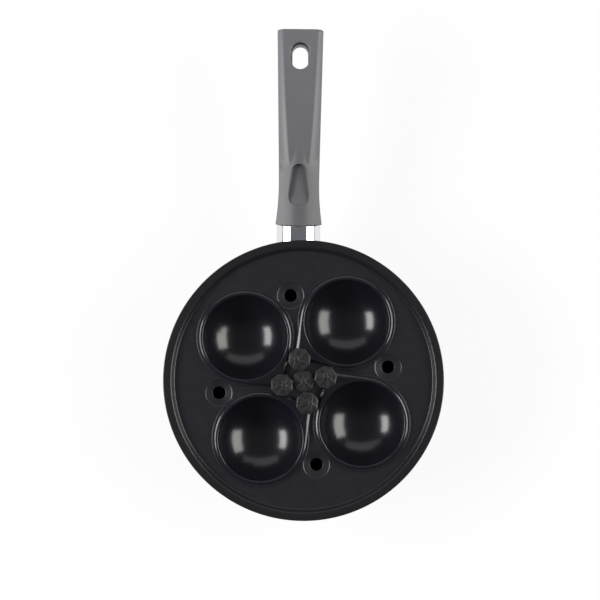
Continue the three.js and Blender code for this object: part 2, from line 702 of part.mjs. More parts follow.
function bracket() {
  const foot = prism(roundedBar(FOOT_LENGTH, FOOT_HEIGHT), -PAST, FOOT_THICKNESS)
    .rotateZ(Math.PI / 2)
    .rotateX(-Math.PI / 2);
  const tongue = box(
    TONGUE_WIDTH,
    [-TONGUE_THICKNESS / 2, TONGUE_THICKNESS / 2],
    [-PAST, FERRULE_LENGTH + TONGUE_REACH],
  );
  const screwBore = cylinder(HANDLE_SCREW_RADIUS + GAP, -TONGUE_THICKNESS, TONGUE_THICKNESS, SMALL_SIDES)
    .translate(0, FERRULE_LENGTH + HANDLE_SCREW_AT, 0);
  let solid = placed(toSolid(foot), wallFrame(0))
    .add(placed(toSolid(tongue).subtract(toSolid(screwBore)), handleFrame))
    .subtract(panClearance());
  for (const side of [-1, 1]) solid = solid.subtract(rivetBore(side));
  return mesh('handle_bracket', solid, steel());
}

function handleSet() {
  const set = new THREE.Group();
  set.applyMatrix4(handleFrame);
  set.add(grip(), handleScrew());
  return set;
}

const eggPan = new THREE.Group();
eggPan.add(panBody(), bracket(), ferrule(), handleSet());
eggPan.add(rivet('rivet_left', -1), rivet('rivet_right', 1));
eggPan.add(traySet());
for (let index = 0; index < CUP_COUNT; index += 1) eggPan.add(cupSet(index));

export default eggPan;
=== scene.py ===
import math

import bmesh
import bpy
import numpy as np
from mathutils import Euler, Matrix, Vector
from mathutils.geometry import delaunay_2d_cdt


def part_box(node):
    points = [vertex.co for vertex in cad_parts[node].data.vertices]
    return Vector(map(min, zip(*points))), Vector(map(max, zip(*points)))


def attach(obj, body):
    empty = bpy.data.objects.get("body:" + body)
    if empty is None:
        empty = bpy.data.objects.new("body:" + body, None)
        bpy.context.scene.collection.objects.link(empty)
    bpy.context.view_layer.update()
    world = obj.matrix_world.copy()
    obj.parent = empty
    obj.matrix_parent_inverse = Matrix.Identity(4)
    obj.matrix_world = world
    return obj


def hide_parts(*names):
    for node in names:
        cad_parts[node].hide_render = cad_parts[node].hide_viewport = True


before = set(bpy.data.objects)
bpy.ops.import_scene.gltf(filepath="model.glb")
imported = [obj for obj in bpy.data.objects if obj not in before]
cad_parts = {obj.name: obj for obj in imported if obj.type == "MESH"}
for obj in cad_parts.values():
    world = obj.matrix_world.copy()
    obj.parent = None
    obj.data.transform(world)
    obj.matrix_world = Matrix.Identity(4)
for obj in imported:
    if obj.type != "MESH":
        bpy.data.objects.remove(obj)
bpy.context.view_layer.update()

bl_info = {
    "name": "Egg Pan",
    "version": (1, 0, 0),
    "blender": (4, 5, 0),
    "location": "View3D > Sidebar > Egg Pan",
    "description": "Dresses a four-cup egg pan: pan, lift-out tray, cups, knobs and handle",
    "category": "Object",
}

# Sizes are in metres; the main ones come from the solids
PAN_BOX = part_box("pan_body")
TRAY_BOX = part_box("tray")
CUP_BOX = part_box("cup_1")
KNOB_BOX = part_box("cup_1_knob")
TRAY_KNOB_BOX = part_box("tray_knob")

RIM_RADIUS = PAN_BOX[1][0]
PAN_HEIGHT = PAN_BOX[1][2]
FLANGE_RADIUS = TRAY_BOX[1][0]
FLANGE_TOP = TRAY_BOX[1][2]
CUP_RIM_TOP = CUP_BOX[1][2]
KNOB_HEIGHT = KNOB_BOX[1][2] - CUP_RIM_TOP
PLATE_TOP = TRAY_KNOB_BOX[0][2]

# Pan body
PAN_SHEET = 0.0027
PAN_TAPER = math.radians(9)
PAN_CORNER_RADIUS = 0.014
PAN_RIM_ROUND = 0.0009
BASE_RING_FIRST = 0.010
BASE_RING_LAST = 0.070
BASE_RING_SHARES = (0.55, 0.65, 0.9)
BASE_RING_DEPTH = 0.0003
BASE_MIDDLE_RISE = 0.0004
BASE_BARE_MARGIN = 0.005
BASE_LINE_SCALE = 420
BASE_LINE_WAVER = 0.6

# Tray
TRAY_SHEET = 0.0012
TRAY_STEP_ANGLE = math.radians(65)
TRAY_UPPER_BEND = 0.0021
TRAY_LOWER_BEND = 0.0016
TRAY_RIM_CLEARANCE = 0.0005
SEAT_RISE = 0.0008
SEAT_MARGIN = 0.0013
SEAT_SLOPE = 0.0009
SEAT_BEND = 0.00045
SEAT_HOLE_CLEARANCE = 0.0005
HOLE_ROUND = 0.0004
HOLE_ROUND_SHARES = (0.1, 0.35, 1.0)
VENT_CIRCLE_RADIUS = 0.062
VENT_FIRST_ANGLE = math.radians(-6.5)
VENT_DISH_RADIUS = 0.0090
VENT_DISH_DEPTH = 0.00185
VENT_LIP_RUN = 0.0010
VENT_LIP_DROP = 0.0004
VENT_ROLL_START = 0.15
FLANGE_TONE = (0.74, 0.76, 0.66)
FLANGE_TONE_RANGE = (0.0945, 0.0965)

# Cups: angles run clockwise from the handle, seen from above
CUP_COUNT = 4
CUP_NAMES = [f"cup_{index + 1}" for index in range(CUP_COUNT)]
CUP_CIRCLE_RADIUS = 0.0524
CUP_FIRST_ANGLE = math.radians(38.7)
CUP_RIM_RADIUS = 0.0333
CUP_SHEET = 0.0008
CUP_RIM_HEIGHT = 0.0022
CUP_LIP_RADIUS = 0.0012
CUP_BEVEL_WIDTH = 0.0011
CUP_TAB_BEVEL_WIDTH = 0.0019
CUP_BEVEL_ANGLE = math.radians(30)
CUP_BEVEL_SHARES = (0.0, 0.12)
CUP_TAB_BEVEL_REACH = (1.0, 1.15)
CUP_EDGE_ROUND = 0.0003
CUP_SEAT_GAP = 0.00003
CUP_SEAT_ROUND = 0.0002
CUP_TAB_TIP_RADIUS = 0.0034
CUP_TAB_KNOB_SIDE_RADIUS = 0.0010
CUP_TAB_END_RADIUS = 0.0046
CUP_TURNS = [math.radians(turn) for turn in (0, 0, 0.7, 0.8)]
KNOB_CIRCLE_RADIUS = 0.0161
KNOB_FIRST_ANGLE = math.radians(-8.4)

# Knobs
KNOB_SIDES = 8
KNOB_FOOT_RADIUS = 0.0044
KNOB_FOOT_HEIGHT = 0.0012
KNOB_BAND_HEIGHT = 0.0087
KNOB_BEVEL = 0.0007
KNOB_CROWN_RADIUS = 0.0018
KNOB_CROWN_DROP = 0.0004
KNOB_RIDGE = 0.00042
KNOB_TIP_RADIUS = 0.7 * KNOB_CROWN_RADIUS
KNOB_TIP_DROP = 0.4 * KNOB_CROWN_DROP
KNOB_EDGE_ROUND = 0.00024
KNOB_EDGE_ANGLE = math.radians(5)
KNOB_EDGE_SEGMENTS = 3
KNOB_CREASE = math.radians(30)
KNOB_TURNS = [math.radians(turn) for turn in (13, 9, 14, 18)]
KNOB_LEANS = [(-0.0020, 0.0002), (0.0001, 0.0014), (0.0023, -0.0002), (0.0016, 0.0002)]
TRAY_KNOB_TURN = math.radians(2)

# Handle: its frame runs out from the wall along Y, sloping up and swung a little clockwise
HANDLE_HEIGHT = 0.040
HANDLE_SLOPE = math.radians(12)
HANDLE_SWING = math.radians(2.8)
GRIP_BEND = math.radians(11)
GRIP_FRONT_HALF = 0.0170
GRIP_NECK_HALF = 0.01465
GRIP_END_HALF = 0.0165
GRIP_NECK_SHARE = 0.22
GRIP_FLARE_POWER = 2
GRIP_WIDENING_POWER = 1.1
GRIP_PANEL_NEAR = 0.0067
GRIP_PANEL_END = 0.0126
GRIP_PANEL_SHARE = 0.33
GRIP_PANEL_POWER = 0.7
GRIP_FRONT_TOP = 0.0105
GRIP_HUMP_TOP = 0.0095
GRIP_PANEL_TOP = 0.0078
GRIP_END_TOP = 0.0073
GRIP_HUMP_SHARE = 0.31
GRIP_FALL_SHARE = 0.42
GRIP_BOTTOM = (-0.0105, -0.0077)
GRIP_INNER_SLOPE = 0.55
GRIP_OUTER_SLOPE = 0.85
GRIP_BEVEL_SPLIT = 0.45
GRIP_BEVEL_BLEND = 0.0005
GRIP_UNDER_POWER = 0.62
NECK_SLOPE = 0.50
HUMP_SLOPE = 0.78
HUMP_SHARES = (0.27, 0.36)
NECK_ROUND = 0.0036
PANEL_FADE_SHARE = 0.345
PANEL_FADE_SLOPE = 0.04
PANEL_BLEND = 0.00025
PANEL_BLEND_GROWTH = 0.25
PANEL_BEND_SHARE = 0.36
PANEL_NEAR_TAPER = 0.015
GRIP_EDGE_ROUND = 0.0010
GRIP_FRONT_ROUND = 0.0004
GRIP_END_ROUND = 0.0015
# Painted shade and light along the grip: over this reach of Y its colour goes from darkened near the pan
# to lightened at the end, by these factors
GRIP_PAINTED_LIGHT_REACH = (0.13, 0.245)
GRIP_PAINTED_LIGHT_LEVELS = (0.82, 1.10)
THUMB_NEAR_SHARE = 0.16
THUMB_FAR_SHARE = 0.28
THUMB_NEAR_RADIUS = 0.0076
THUMB_FAR_RADIUS = 0.0053
THUMB_NEAR_POWER = 2.7
THUMB_DEPTH = 0.0042
THUMB_RAMP_END = 0.12
THUMB_WALL = 0.0005
SLOT_SHARE = 0.864
SLOT_ROUND = 0.0009
SLOT_DRAFT = 0.0008
# Height up the slot above which its wall is dark plastic: painted shade
SLOT_SHADE_HEIGHT = 0.0005
FERRULE_LENGTH = 0.0172
FERRULE_SHEET = 0.0012
FERRULE_SHARE = 0.945
FERRULE_SIDE = (-0.0033, 0.0004)
FERRULE_FLAT_HALF = 0.00525
FERRULE_BEVEL_HALF = 0.0115
FERRULE_BEVEL_DROPS = (0.0036, 0.0095)
FERRULE_SIDE_DEPTH = 0.33
FERRULE_HEEL = (0.86, 0.75)
FERRULE_SOLE = 0.5
FERRULE_CORNER_REACH = 0.0012
FERRULE_CORNER_SHARE = 0.4
FERRULE_FACE_SHARE = 0.8
FERRULE_END_ROUND = 0.0004
WALL_GAP = 0.0003
FERRULE_WALL_GAP = 1.5 * WALL_GAP

# Fasteners: a screw's shares are of its head's radius, then of the head's height and of the shank
HANDLE_SCREW_AT = 0.030
HANDLE_SCREW_FOOT = -0.0086
SCREW_ROOM = (-0.02, -0.0065)
SCREW_HEAD_SHARE = 0.42
SCREW_SHANK_SHARE = 0.54
SCREW_ROUND_SHARE = 0.35
SCREW_TIP_SHARE = 0.3
SCREW_SLOT_WIDTH = 0.0009
SCREW_SLOT_DEPTH = 0.0005
RIVET_SPREAD = 0.0172
RIVET_HEAD_RADIUS = 0.0036
RIVET_HEAD_HEIGHT = 0.0015
RIVET_SHANK_RADIUS = 0.0018
RIVET_TAIL_RADIUS = 0.0025
RIVET_TAIL_HEIGHT = 0.0015
RIVET_TAIL_BEVEL = 0.0004
BRACKET_SHEET = 0.0025
BRACKET_TONE = 0.8

# Fineness of the meshes: steps over arcs, points round rings, and the grip's stretches by share and count
EDGE_STEPS = 4
ROUND_STEPS = 5
BEND_STEPS = 6
END_STEPS = 7
FINE_STEPS = 8
CORNER_STEPS = 16
SLOT_STEPS = 24
BOWL_STEPS = 40
BOWL_UNDERSIDE_STEPS = 32
FERRULE_STEPS = 11
PAN_SIDES = 192
CUP_SIDES = 180
CUP_TAB_CROWDING = 0.62
FLANGE_SIDES = 240
SEAT_SIDES = 160
VENT_SIDES = 48
FASTENER_SIDES = 40
SCREW_ROOM_SIDES = 32
FILLER_PITCH = 0.005
FILLER_REACH = 0.1
HOLE_MARGIN = 1e-5
GRIP_POINTS = 141
GRIP_CROWDING_POWER = 0.8
GRIP_STRETCHES = ((0.09, 15), (0.345, 116), (0.78, 40), (0.945, 76))
GRIP_LAST_COUNT = 10
HALVINGS = 48
WALL_TRIES = 20
WELD_DISTANCE = 1e-6
TINY = 1e-7
CREASE = math.radians(40)

# Painted highlight along edges: how sharply a point stands out where it starts, and the range to the full
# highlight
EDGE_HIGHLIGHT_START = 150
EDGE_HIGHLIGHT_RANGE = 900

# The part of a noise's range that the finishes spread
NOISE_RANGE = (0.3, 0.7)

# View of the photograph: straight down, in a square frame
VIEW_DISTANCE = 0.750
VIEW_WIDTH = 0.43224
VIEW_CENTRE = (-0.00029, 0.05811)
VIEW_TURN = math.radians(-2.2)
SENSOR = 36.0

# Studio: azimuth from +X and elevation in degrees, distance, width and height, brightness, colour
SOFT_BOXES = {
    "left_soft_box": (180, 31.6, 1.5, (1.0, 0.47), 10.2, (1.0, 0.975, 0.97)),
    "right_soft_box": (0, 30.7, 1.5, (1.30, 0.70), 6.6, (1.0, 1.0, 0.96)),
    "far_panel": (90, 32.0, 1.8, (3.0, 0.66), 0.86, (1.0, 1.0, 0.98)),
}
FILL_LIGHTS = {"left_fill": (180, 32.0, 1.5, (1.15, 0.62), 4.4, (1.0, 0.98, 0.98))}
SKY_COLOUR = (0.98, 0.99, 1.075)
SKY_STRENGTH = 0.165
NEAR_SKY_SHARE = 0.15
NEAR_SKY_RANGE = (-0.75, -0.15)
HORIZON_GLOW = 0.9
HORIZON_RANGE = (0.015, 0.04)
FLOOR_REACH = 60.0
FLOOR_GLOW = 0.88
CLIP_START = 0.01


def linear(*levels):
    """A colour written as 8-bit levels, in the linear values that shaders use."""
    shares = [level / 255 for level in levels]
    return tuple(s / 12.92 if s <= 0.04045 else ((s + 0.055) / 1.055) ** 2.4 for s in shares)


def length_property(name, description, default):
    return bpy.props.FloatProperty(
        name=name, description=description, default=default, min=0.0, unit="LENGTH", precision=4)


def colour_property(name, description, default):
    return bpy.props.FloatVectorProperty(
        name=name, description=description, default=default, min=0.0, max=1.0, size=3, subtype="COLOR")


class EggPanSizes(bpy.types.PropertyGroup):
    """Sizes of the egg pan that can be changed."""

    rim_radius: length_property("Rim radius", "Outer radius of the pan at its rim", RIM_RADIUS)
    pan_height: length_property("Pan height", "Height of the pan's rim above its base", PAN_HEIGHT)
    base_pitch: length_property("Base ring pitch", "Spacing of the turned rings under the base", 0.0024)
    flange_radius: length_property("Flange radius", "Outer radius of the tray's flange", FLANGE_RADIUS)
    vent_radius: length_property("Vent radius", "Radius of the steam vents' holes", 0.0046)
    cup_mouth: length_property("Cup mouth", "Inner radius of a cup at its mouth", 0.0303)
    cup_depth: length_property("Cup depth", "Depth of a cup below its rim", 0.0207)
    knob_radius: length_property("Knob radius", "Radius of a knob over its corners", 0.0084)
    grip_length: length_property("Grip length", "Length of the handle's grip", 0.139)
    slot_width: length_property("Slot width", "Width of the hanging slot", 0.0125)
    slot_length: length_property("Slot length", "Length of the hanging slot", 0.0186)


class EggPanColours(bpy.types.PropertyGroup):
    """Colours of the egg pan's finishes."""

    pan_coat: colour_property("Pan coat", "Outer coat of the pan", linear(34, 34, 37))
    tray_coat: colour_property("Tray coat", "Non-stick coat of the tray", linear(31, 30, 35))
    cup_coat: colour_property("Cup coat", "Glossy non-stick coat of the cups", linear(22, 21, 27))
    knob: colour_property("Knob plastic", "Heat-proof plastic of the knobs", linear(32, 32, 33))
    grip: colour_property("Grip plastic", "Soft-touch plastic of the grip", linear(107, 107, 111))
    # Dark plastic on the slot's upper wall: painted shade
    painted_slot_shade: colour_property("Slot shade", "Dark plastic painted as shade inside the slot", linear(20, 20, 22))
    chrome: colour_property("Chrome", "Plating of the ferrule", linear(232, 233, 236))
    steel: colour_property("Steel", "Screws, rivets and bracket", linear(180, 181, 183))
    aluminium: colour_property("Aluminium", "Turned base of the pan", linear(200, 201, 204))
    floor: colour_property("Floor", "Floor of the studio", linear(250, 250, 250))


# Materials


def set_ranges(node, from_range, to_range):
    """Sets both ranges of a Map Range node."""
    sockets = ("From Min", "From Max", "To Min", "To Max")
    for socket, value in zip(sockets, (*from_range, *to_range)):
        node.inputs[socket].default_value = value


class Finish:
    """A material in the making: its shader, and short ways to add patterns in Object coordinates."""

    def __init__(self, name, **constants):
        self.material = bpy.data.materials.new(name)
        self.material.use_nodes = True
        self.tree = self.material.node_tree
        self.shader = self.tree.nodes["Principled BSDF"]
        self.coordinates = self.node("ShaderNodeTexCoord").outputs["Object"]
        for socket, value in constants.items():
            self.shader.inputs[socket.replace("_", " ")].default_value = value

    def node(self, kind, **settings):
        made = self.tree.nodes.new(kind)
        for setting, value in settings.items():
            setattr(made, setting, value)
        return made

    def link(self, source, target):
        self.tree.links.new(source, target)

    def noise(self, size, detail=2.0, stretch=(1, 1, 1)):
        """Noise whose features are about this size, in metres."""
        place = self.node("ShaderNodeMapping")
        place.inputs["Scale"].default_value = stretch
        texture = self.node("ShaderNodeTexNoise")
        texture.inputs["Scale"].default_value = 1 / size
        texture.inputs["Detail"].default_value = detail
        self.link(self.coordinates, place.inputs["Vector"])
        self.link(place.outputs["Vector"], texture.inputs["Vector"])
        return texture.outputs["Fac"]

    def edge_highlight_share(self):
        """How much a point stands out along a rounded edge, from 0 to 1."""
        return self.node("ShaderNodeAttribute", attribute_name="rub").outputs["Fac"]

    def spread(self, source, from_range, to_range):
        ranges = self.node("ShaderNodeMapRange")
        set_ranges(ranges, from_range, to_range)
        self.link(source, ranges.inputs["Value"])
        return ranges.outputs["Result"]

    def math(self, operation, first, second):
        made = self.node("ShaderNodeMath", operation=operation)
        for socket, value in zip(made.inputs, (first, second)):
            if isinstance(value, (int, float)):
                socket.default_value = value
            else:
                self.link(value, socket)
        return made.outputs["Value"]

    def axis(self, name):
        """One of the Object coordinates."""
        parts = self.node("ShaderNodeSeparateXYZ")
        self.link(self.coordinates, parts.inputs["Vector"])
        return parts.outputs[name]

    def axis_distance(self):
        """Distance from the pan's axis."""
        flat = self.node("ShaderNodeVectorMath", operation="MULTIPLY")
        flat.inputs[1].default_value = (1, 1, 0)
        self.link(self.coordinates, flat.inputs[0])
        length = self.node("ShaderNodeVectorMath", operation="LENGTH")
        self.link(flat.outputs["Vector"], length.inputs[0])
        return length.outputs["Value"]

    def blend(self, factor, first, second, kind="MIX"):
        made = self.node("ShaderNodeMix", data_type="RGBA", blend_type=kind)
        self.link(factor, made.inputs["Factor"])
        for socket, value in (("A", first), ("B", second)):
            target = next(s for s in made.inputs if s.name == socket and s.type == "RGBA")
            if isinstance(value, tuple):
                target.default_value = (*value, 1.0)
            else:
                self.link(value, target)
        return next(s for s in made.outputs if s.type == "RGBA")

    def bump(self, height, depth):
        made = self.node("ShaderNodeBump")
        made.inputs["Distance"].default_value = depth
        self.link(height, made.inputs["Height"])
        self.link(made.outputs["Normal"], self.shader.inputs["Normal"])

    def source(self, socket):
        """What is linked to one of the shader's sockets."""
        return self.shader.inputs[socket].links[0].from_socket

    def colour(self, source):
        self.link(source, self.shader.inputs["Base Color"])

    def edge_highlight_colour(self, base, noise, amounts, pale):
        """A colour that is paler along rounded edges, a painted highlight, by amounts that follow a
        noise.
        """
        highlight_share = self.math("MULTIPLY", self.edge_highlight_share(), self.spread(noise, NOISE_RANGE, amounts))
        self.colour(self.blend(highlight_share, base, pale))

    def roughness(self, source):
        self.link(source, self.shader.inputs["Roughness"])


def shade(colour, factor):
    return tuple(min(1.0, part * factor) for part in colour)


def spray_coat(name, colour, roughness):
    """A sprayed non-stick coat: fine orange-peel grain and a mottled tone, with a painted highlight along
    its rounded edges.
    """
    finish = Finish(name, Specular_IOR_Level=0.5)
    mottle = finish.noise(0.006, 3.0)
    grain = finish.noise(0.0005, 2.0)
    tone = finish.blend(mottle, shade(colour, 0.78), shade(colour, 1.22))
    fleck = finish.spread(grain, (0.62, 0.8), (0.0, 0.5))
    flecked = finish.blend(fleck, tone, shade(colour, 1.7))
    # Paler along rounded edges: a painted highlight
    finish.edge_highlight_colour(flecked, mottle, (0.1, 0.45), shade(colour, 2.0))
    finish.roughness(finish.spread(grain, NOISE_RANGE, (roughness - 0.06, roughness + 0.06)))
    finish.bump(grain, 0.00003)
    return finish


def tray_finish(colour):
    """The tray's coat, a little darker and greyer on its flange."""
    finish = spray_coat("tray_spray_coat", colour, 0.31)
    coated = finish.source("Base Color")
    flange = finish.spread(finish.axis_distance(), FLANGE_TONE_RANGE, (0.0, 1.0))
    finish.colour(finish.blend(flange, coated, FLANGE_TONE, "MULTIPLY"))
    return finish.material


def gloss_coat(colour):
    """The cups' glossy coat, with a faint waviness of the pressed sheet and a painted highlight along its
    rounded edges.
    """
    finish = Finish("cup_gloss_coat", Specular_IOR_Level=0.5)
    waves = finish.noise(0.009, 2.0)
    grain = finish.noise(0.0004, 2.0)
    tone = finish.blend(waves, shade(colour, 0.85), shade(colour, 1.15))
    # Strongly paler along rounded edges: a painted highlight on the rims
    finish.edge_highlight_colour(tone, waves, (0.3, 0.7), shade(colour, 4.0))
    finish.roughness(finish.spread(grain, NOISE_RANGE, (0.17, 0.23)))
    finish.bump(waves, 0.00002)
    return finish.material


def pan_finish(colours):
    """The pan's coat, with a bare turned base: the bare metal shows where the underside is flat."""
    coat = tuple(colours.pan_coat)
    metal = tuple(colours.aluminium)
    finish = spray_coat("pan_spray_coat", coat, 0.48)
    inside = finish.math("LESS_THAN", finish.axis_distance(), BASE_RING_LAST + BASE_BARE_MARGIN)
    under = finish.math("LESS_THAN", finish.axis("Z"), PAN_SHEET / 2)
    bare = finish.math("MULTIPLY", inside, under)
    turned = finish.node("ShaderNodeTexWave", wave_type="RINGS", rings_direction="Z")
    turned.inputs["Scale"].default_value = BASE_LINE_SCALE
    turned.inputs["Distortion"].default_value = BASE_LINE_WAVER
    finish.link(finish.coordinates, turned.inputs["Vector"])
    lines = finish.blend(turned.outputs["Fac"], shade(metal, 0.7), metal)
    dull = finish.source("Roughness")
    finish.colour(finish.blend(bare, finish.source("Base Color"), lines))
    polish = finish.spread(turned.outputs["Fac"], (0, 1), (0.22, 0.38))
    rough = finish.node("ShaderNodeMix", data_type="FLOAT")
    finish.link(bare, rough.inputs[0])
    finish.link(dull, rough.inputs[2])
    finish.link(polish, rough.inputs[3])
    finish.roughness(rough.outputs[0])
    finish.link(bare, finish.shader.inputs["Metallic"])
    return finish.material


def knob_plastic(colour):
    """Moulded phenolic plastic: matt and finely grained, with a painted highlight along its ridges."""
    finish = Finish("knob_plastic", Specular_IOR_Level=0.5)
    grain = finish.noise(0.0007, 3.0)
    cloud = finish.noise(0.003, 3.0)
    clouded = finish.spread(cloud, (0.4, 0.6), (0.0, 1.0))
    tone = finish.blend(clouded, shade(colour, 0.4), shade(colour, 1.5))
    speckle = finish.spread(grain, (0.46, 0.6), (0.0, 0.7))
    speckled = finish.blend(speckle, tone, shade(colour, 2.2))
    # Paler along ridges: a painted highlight
    finish.edge_highlight_colour(speckled, cloud, (0.3, 0.8), shade(colour, 2.2))
    finish.roughness(finish.spread(grain, NOISE_RANGE, (0.28, 0.38)))
    finish.bump(grain, 0.0001)
    return finish.material


def grip_plastic(colour):
    """Soft-touch plastic with a fine grain, a painted highlight along its ridges, painted shade towards
    the pan and painted light towards its end.
    """
    finish = Finish("grip_plastic", Specular_IOR_Level=0.5)
    grain = finish.noise(0.0004, 3.0)
    cloud = finish.noise(0.012, 2.0)
    # Painted shade near the pan and painted light towards the end, along Y
    along = finish.spread(finish.axis("Y"), GRIP_PAINTED_LIGHT_REACH, (0.0, 1.0))
    near, far = [finish.blend(cloud, shade(colour, 0.95 * level), shade(colour, 1.05 * level))
                 for level in GRIP_PAINTED_LIGHT_LEVELS]
    tone = finish.blend(along, near, far)
    speckled = finish.blend(finish.spread(grain, (0.35, 0.7), (0.0, 0.25)), tone, shade(colour, 0.75))
    # Paler along rounded edges: a painted highlight
    finish.edge_highlight_colour(speckled, cloud, (0.1, 0.35), shade(colour, 1.35))
    finish.roughness(finish.spread(grain, NOISE_RANGE, (0.36, 0.46)))
    finish.bump(grain, 0.00004)
    return finish.material


def painted_slot_shade(colour):
    """Dark, dull and slightly cloudy plastic: painted shade on the slot's upper wall."""
    finish = Finish("slot_bare_plastic", Specular_IOR_Level=0.15)
    cloud = finish.noise(0.002, 3.0)
    finish.colour(finish.blend(cloud, shade(colour, 0.7), shade(colour, 1.3)))
    finish.roughness(finish.spread(cloud, NOISE_RANGE, (0.7, 0.85)))
    return finish.material


def chrome_plate(colour):
    """Bright plating with faint polishing lines round the sleeve."""
    finish = Finish("ferrule_chrome_plate", Metallic=1.0)
    lines = finish.noise(0.0012, 2.0, stretch=(0.15, 3.0, 0.15))
    finish.colour(finish.blend(lines, shade(colour, 0.93), colour))
    finish.roughness(finish.spread(lines, NOISE_RANGE, (0.05, 0.12)))
    finish.bump(lines, 0.000004)
    return finish.material


def brushed_steel(name, colour):
    """Plain steel with a fine brushed grain, a darker tone in patches, and a painted highlight along its
    edges.
    """
    finish = Finish(name, Metallic=1.0)
    grain = finish.noise(0.0006, 2.0, stretch=(1.0, 0.2, 1.0))
    cloud = finish.noise(0.005, 2.0)
    tone = finish.blend(cloud, shade(colour, 0.8), colour)
    # Paler along rounded edges: a painted highlight
    finish.colour(finish.blend(finish.edge_highlight_share(), tone, shade(colour, 1.2)))
    finish.roughness(finish.spread(grain, NOISE_RANGE, (0.26, 0.42)))
    finish.bump(grain, 0.00001)
    return finish.material


# Meshes


def arc(centre, radius, start, end, steps):
    """Points on an arc, as pairs, with both ends."""
    angles = np.linspace(start, end, steps + 1)
    return [(centre[0] + radius * math.cos(a), centre[1] + radius * math.sin(a)) for a in angles]


def on_circle(radius, angle):
    """A place on a circle about the pan's axis, at an angle clockwise from the handle."""
    return np.array([radius * math.sin(angle), radius * math.cos(angle)])


def quarter(index):
    return index * 2 * math.pi / CUP_COUNT


def add_object(name, mesh):
    obj = bpy.data.objects.new(name, mesh)
    bpy.context.scene.collection.objects.link(obj)
    return obj


def vertex_rows(mesh, field):
    """One vector of every vertex, as rows."""
    values = np.empty(len(mesh.vertices) * 3)
    mesh.vertices.foreach_get(field, values)
    return values.reshape(-1, 3)


def mark_edges(mesh):
    """Stores how sharply each point of a mesh stands out, for a painted highlight along rounded edges."""
    count = len(mesh.vertices)
    places = vertex_rows(mesh, "co")
    normals = vertex_rows(mesh, "normal")
    ends = np.empty(len(mesh.edges) * 2, dtype=int)
    mesh.edges.foreach_get("vertices", ends)
    first, second = ends.reshape(-1, 2).T
    along = places[second] - places[first]
    squared = np.maximum((along ** 2).sum(axis=1), 1e-12)
    bend = np.zeros(count)
    degree = np.zeros(count)
    for point, direction in ((first, along), (second, -along)):
        np.add.at(bend, point, -2 * (direction * normals[point]).sum(axis=1) / squared)
        np.add.at(degree, point, 1)
    rub = np.clip((bend / np.maximum(degree, 1) - EDGE_HIGHLIGHT_START) / EDGE_HIGHLIGHT_RANGE, 0, 1)
    mesh.attributes.new("rub", "FLOAT", "POINT").data.foreach_set("value", rub.astype(np.float32))


def finish_mesh(mesh, material, crease=CREASE):
    """Smooth shading with sharp creases, one material, and the mark of its edges."""
    mesh.shade_smooth()
    mesh.set_sharp_from_angle(angle=crease)
    if material is not None:
        mesh.materials.clear()
        mesh.materials.append(material)
    mark_edges(mesh)


def mesh_from(name, build):
    """A closed mesh with outward faces from a bmesh."""
    bmesh.ops.remove_doubles(build, verts=build.verts, dist=WELD_DISTANCE)
    bmesh.ops.dissolve_degenerate(build, edges=build.edges, dist=TINY)
    bmesh.ops.recalc_face_normals(build, faces=build.faces)
    if build.calc_volume(signed=True) < 0:
        bmesh.ops.reverse_faces(build, faces=build.faces)
    mesh = bpy.data.meshes.new(name)
    build.to_mesh(mesh)
    build.free()
    return mesh


def loft(rings, cap_ends=False):
    """Skin over rings of equal length; rings that meet an axis close to one point."""
    build = bmesh.new()
    loops = [[build.verts.new(tuple(point)) for point in ring] for ring in rings]
    for lower, upper in zip(loops, loops[1:]):
        for i in range(len(lower)):
            build.faces.new((lower[i - 1], lower[i], upper[i], upper[i - 1]))
    if cap_ends:
        build.faces.new(list(reversed(loops[0])))
        build.faces.new(loops[-1])
    return build


def settle(obj):
    """Turns an object with modifiers into a plain mesh."""
    graph = bpy.context.evaluated_depsgraph_get()
    mesh = bpy.data.meshes.new_from_object(obj.evaluated_get(graph), depsgraph=graph)
    obj.modifiers.clear()
    mesh.name = obj.name
    obj.data = mesh
    return obj


def cut(obj, cutter):
    """Cuts the cutter out of the object and removes it."""
    modifier = obj.modifiers.new("cut", "BOOLEAN")
    modifier.operation = "DIFFERENCE"
    modifier.solver = "EXACT"
    modifier.material_mode = "TRANSFER"
    modifier.object = cutter
    settle(obj)
    bpy.data.objects.remove(cutter)
    return obj


def place_piece(obj, body, slot, *nodes):
    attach(obj, body)
    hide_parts(*nodes)


# Geometry Nodes


def new_tree(name, inputs):
    """A node tree with named inputs and one geometry output."""
    tree = bpy.data.node_groups.new(name, "GeometryNodeTree")
    tree.interface.new_socket("Geometry", in_out="OUTPUT", socket_type="NodeSocketGeometry")
    for socket, kind in inputs:
        tree.interface.new_socket(socket, in_out="INPUT", socket_type=kind)
    return tree, tree.nodes.new("NodeGroupInput").outputs, tree.nodes.new("NodeGroupOutput").inputs


def end_tree(tree, geometry, given, result):
    """Places the geometry, realises instances and sets the finish."""
    link = tree.links.new
    place = tree.nodes.new("GeometryNodeTransform")
    realise = tree.nodes.new("GeometryNodeRealizeInstances")
    finish = tree.nodes.new("GeometryNodeSetMaterial")
    for node in (place, realise, finish):
        link(geometry, node.inputs["Geometry"])
        geometry = node.outputs["Geometry"]
    link(given["Place"], place.inputs["Translation"])
    link(given["Turn"], place.inputs["Rotation"])
    link(given["Finish"], finish.inputs["Material"])
    link(geometry, result["Geometry"])


PLACED = [("Place", "NodeSocketVector"), ("Turn", "NodeSocketVector"), ("Finish", "NodeSocketMaterial")]


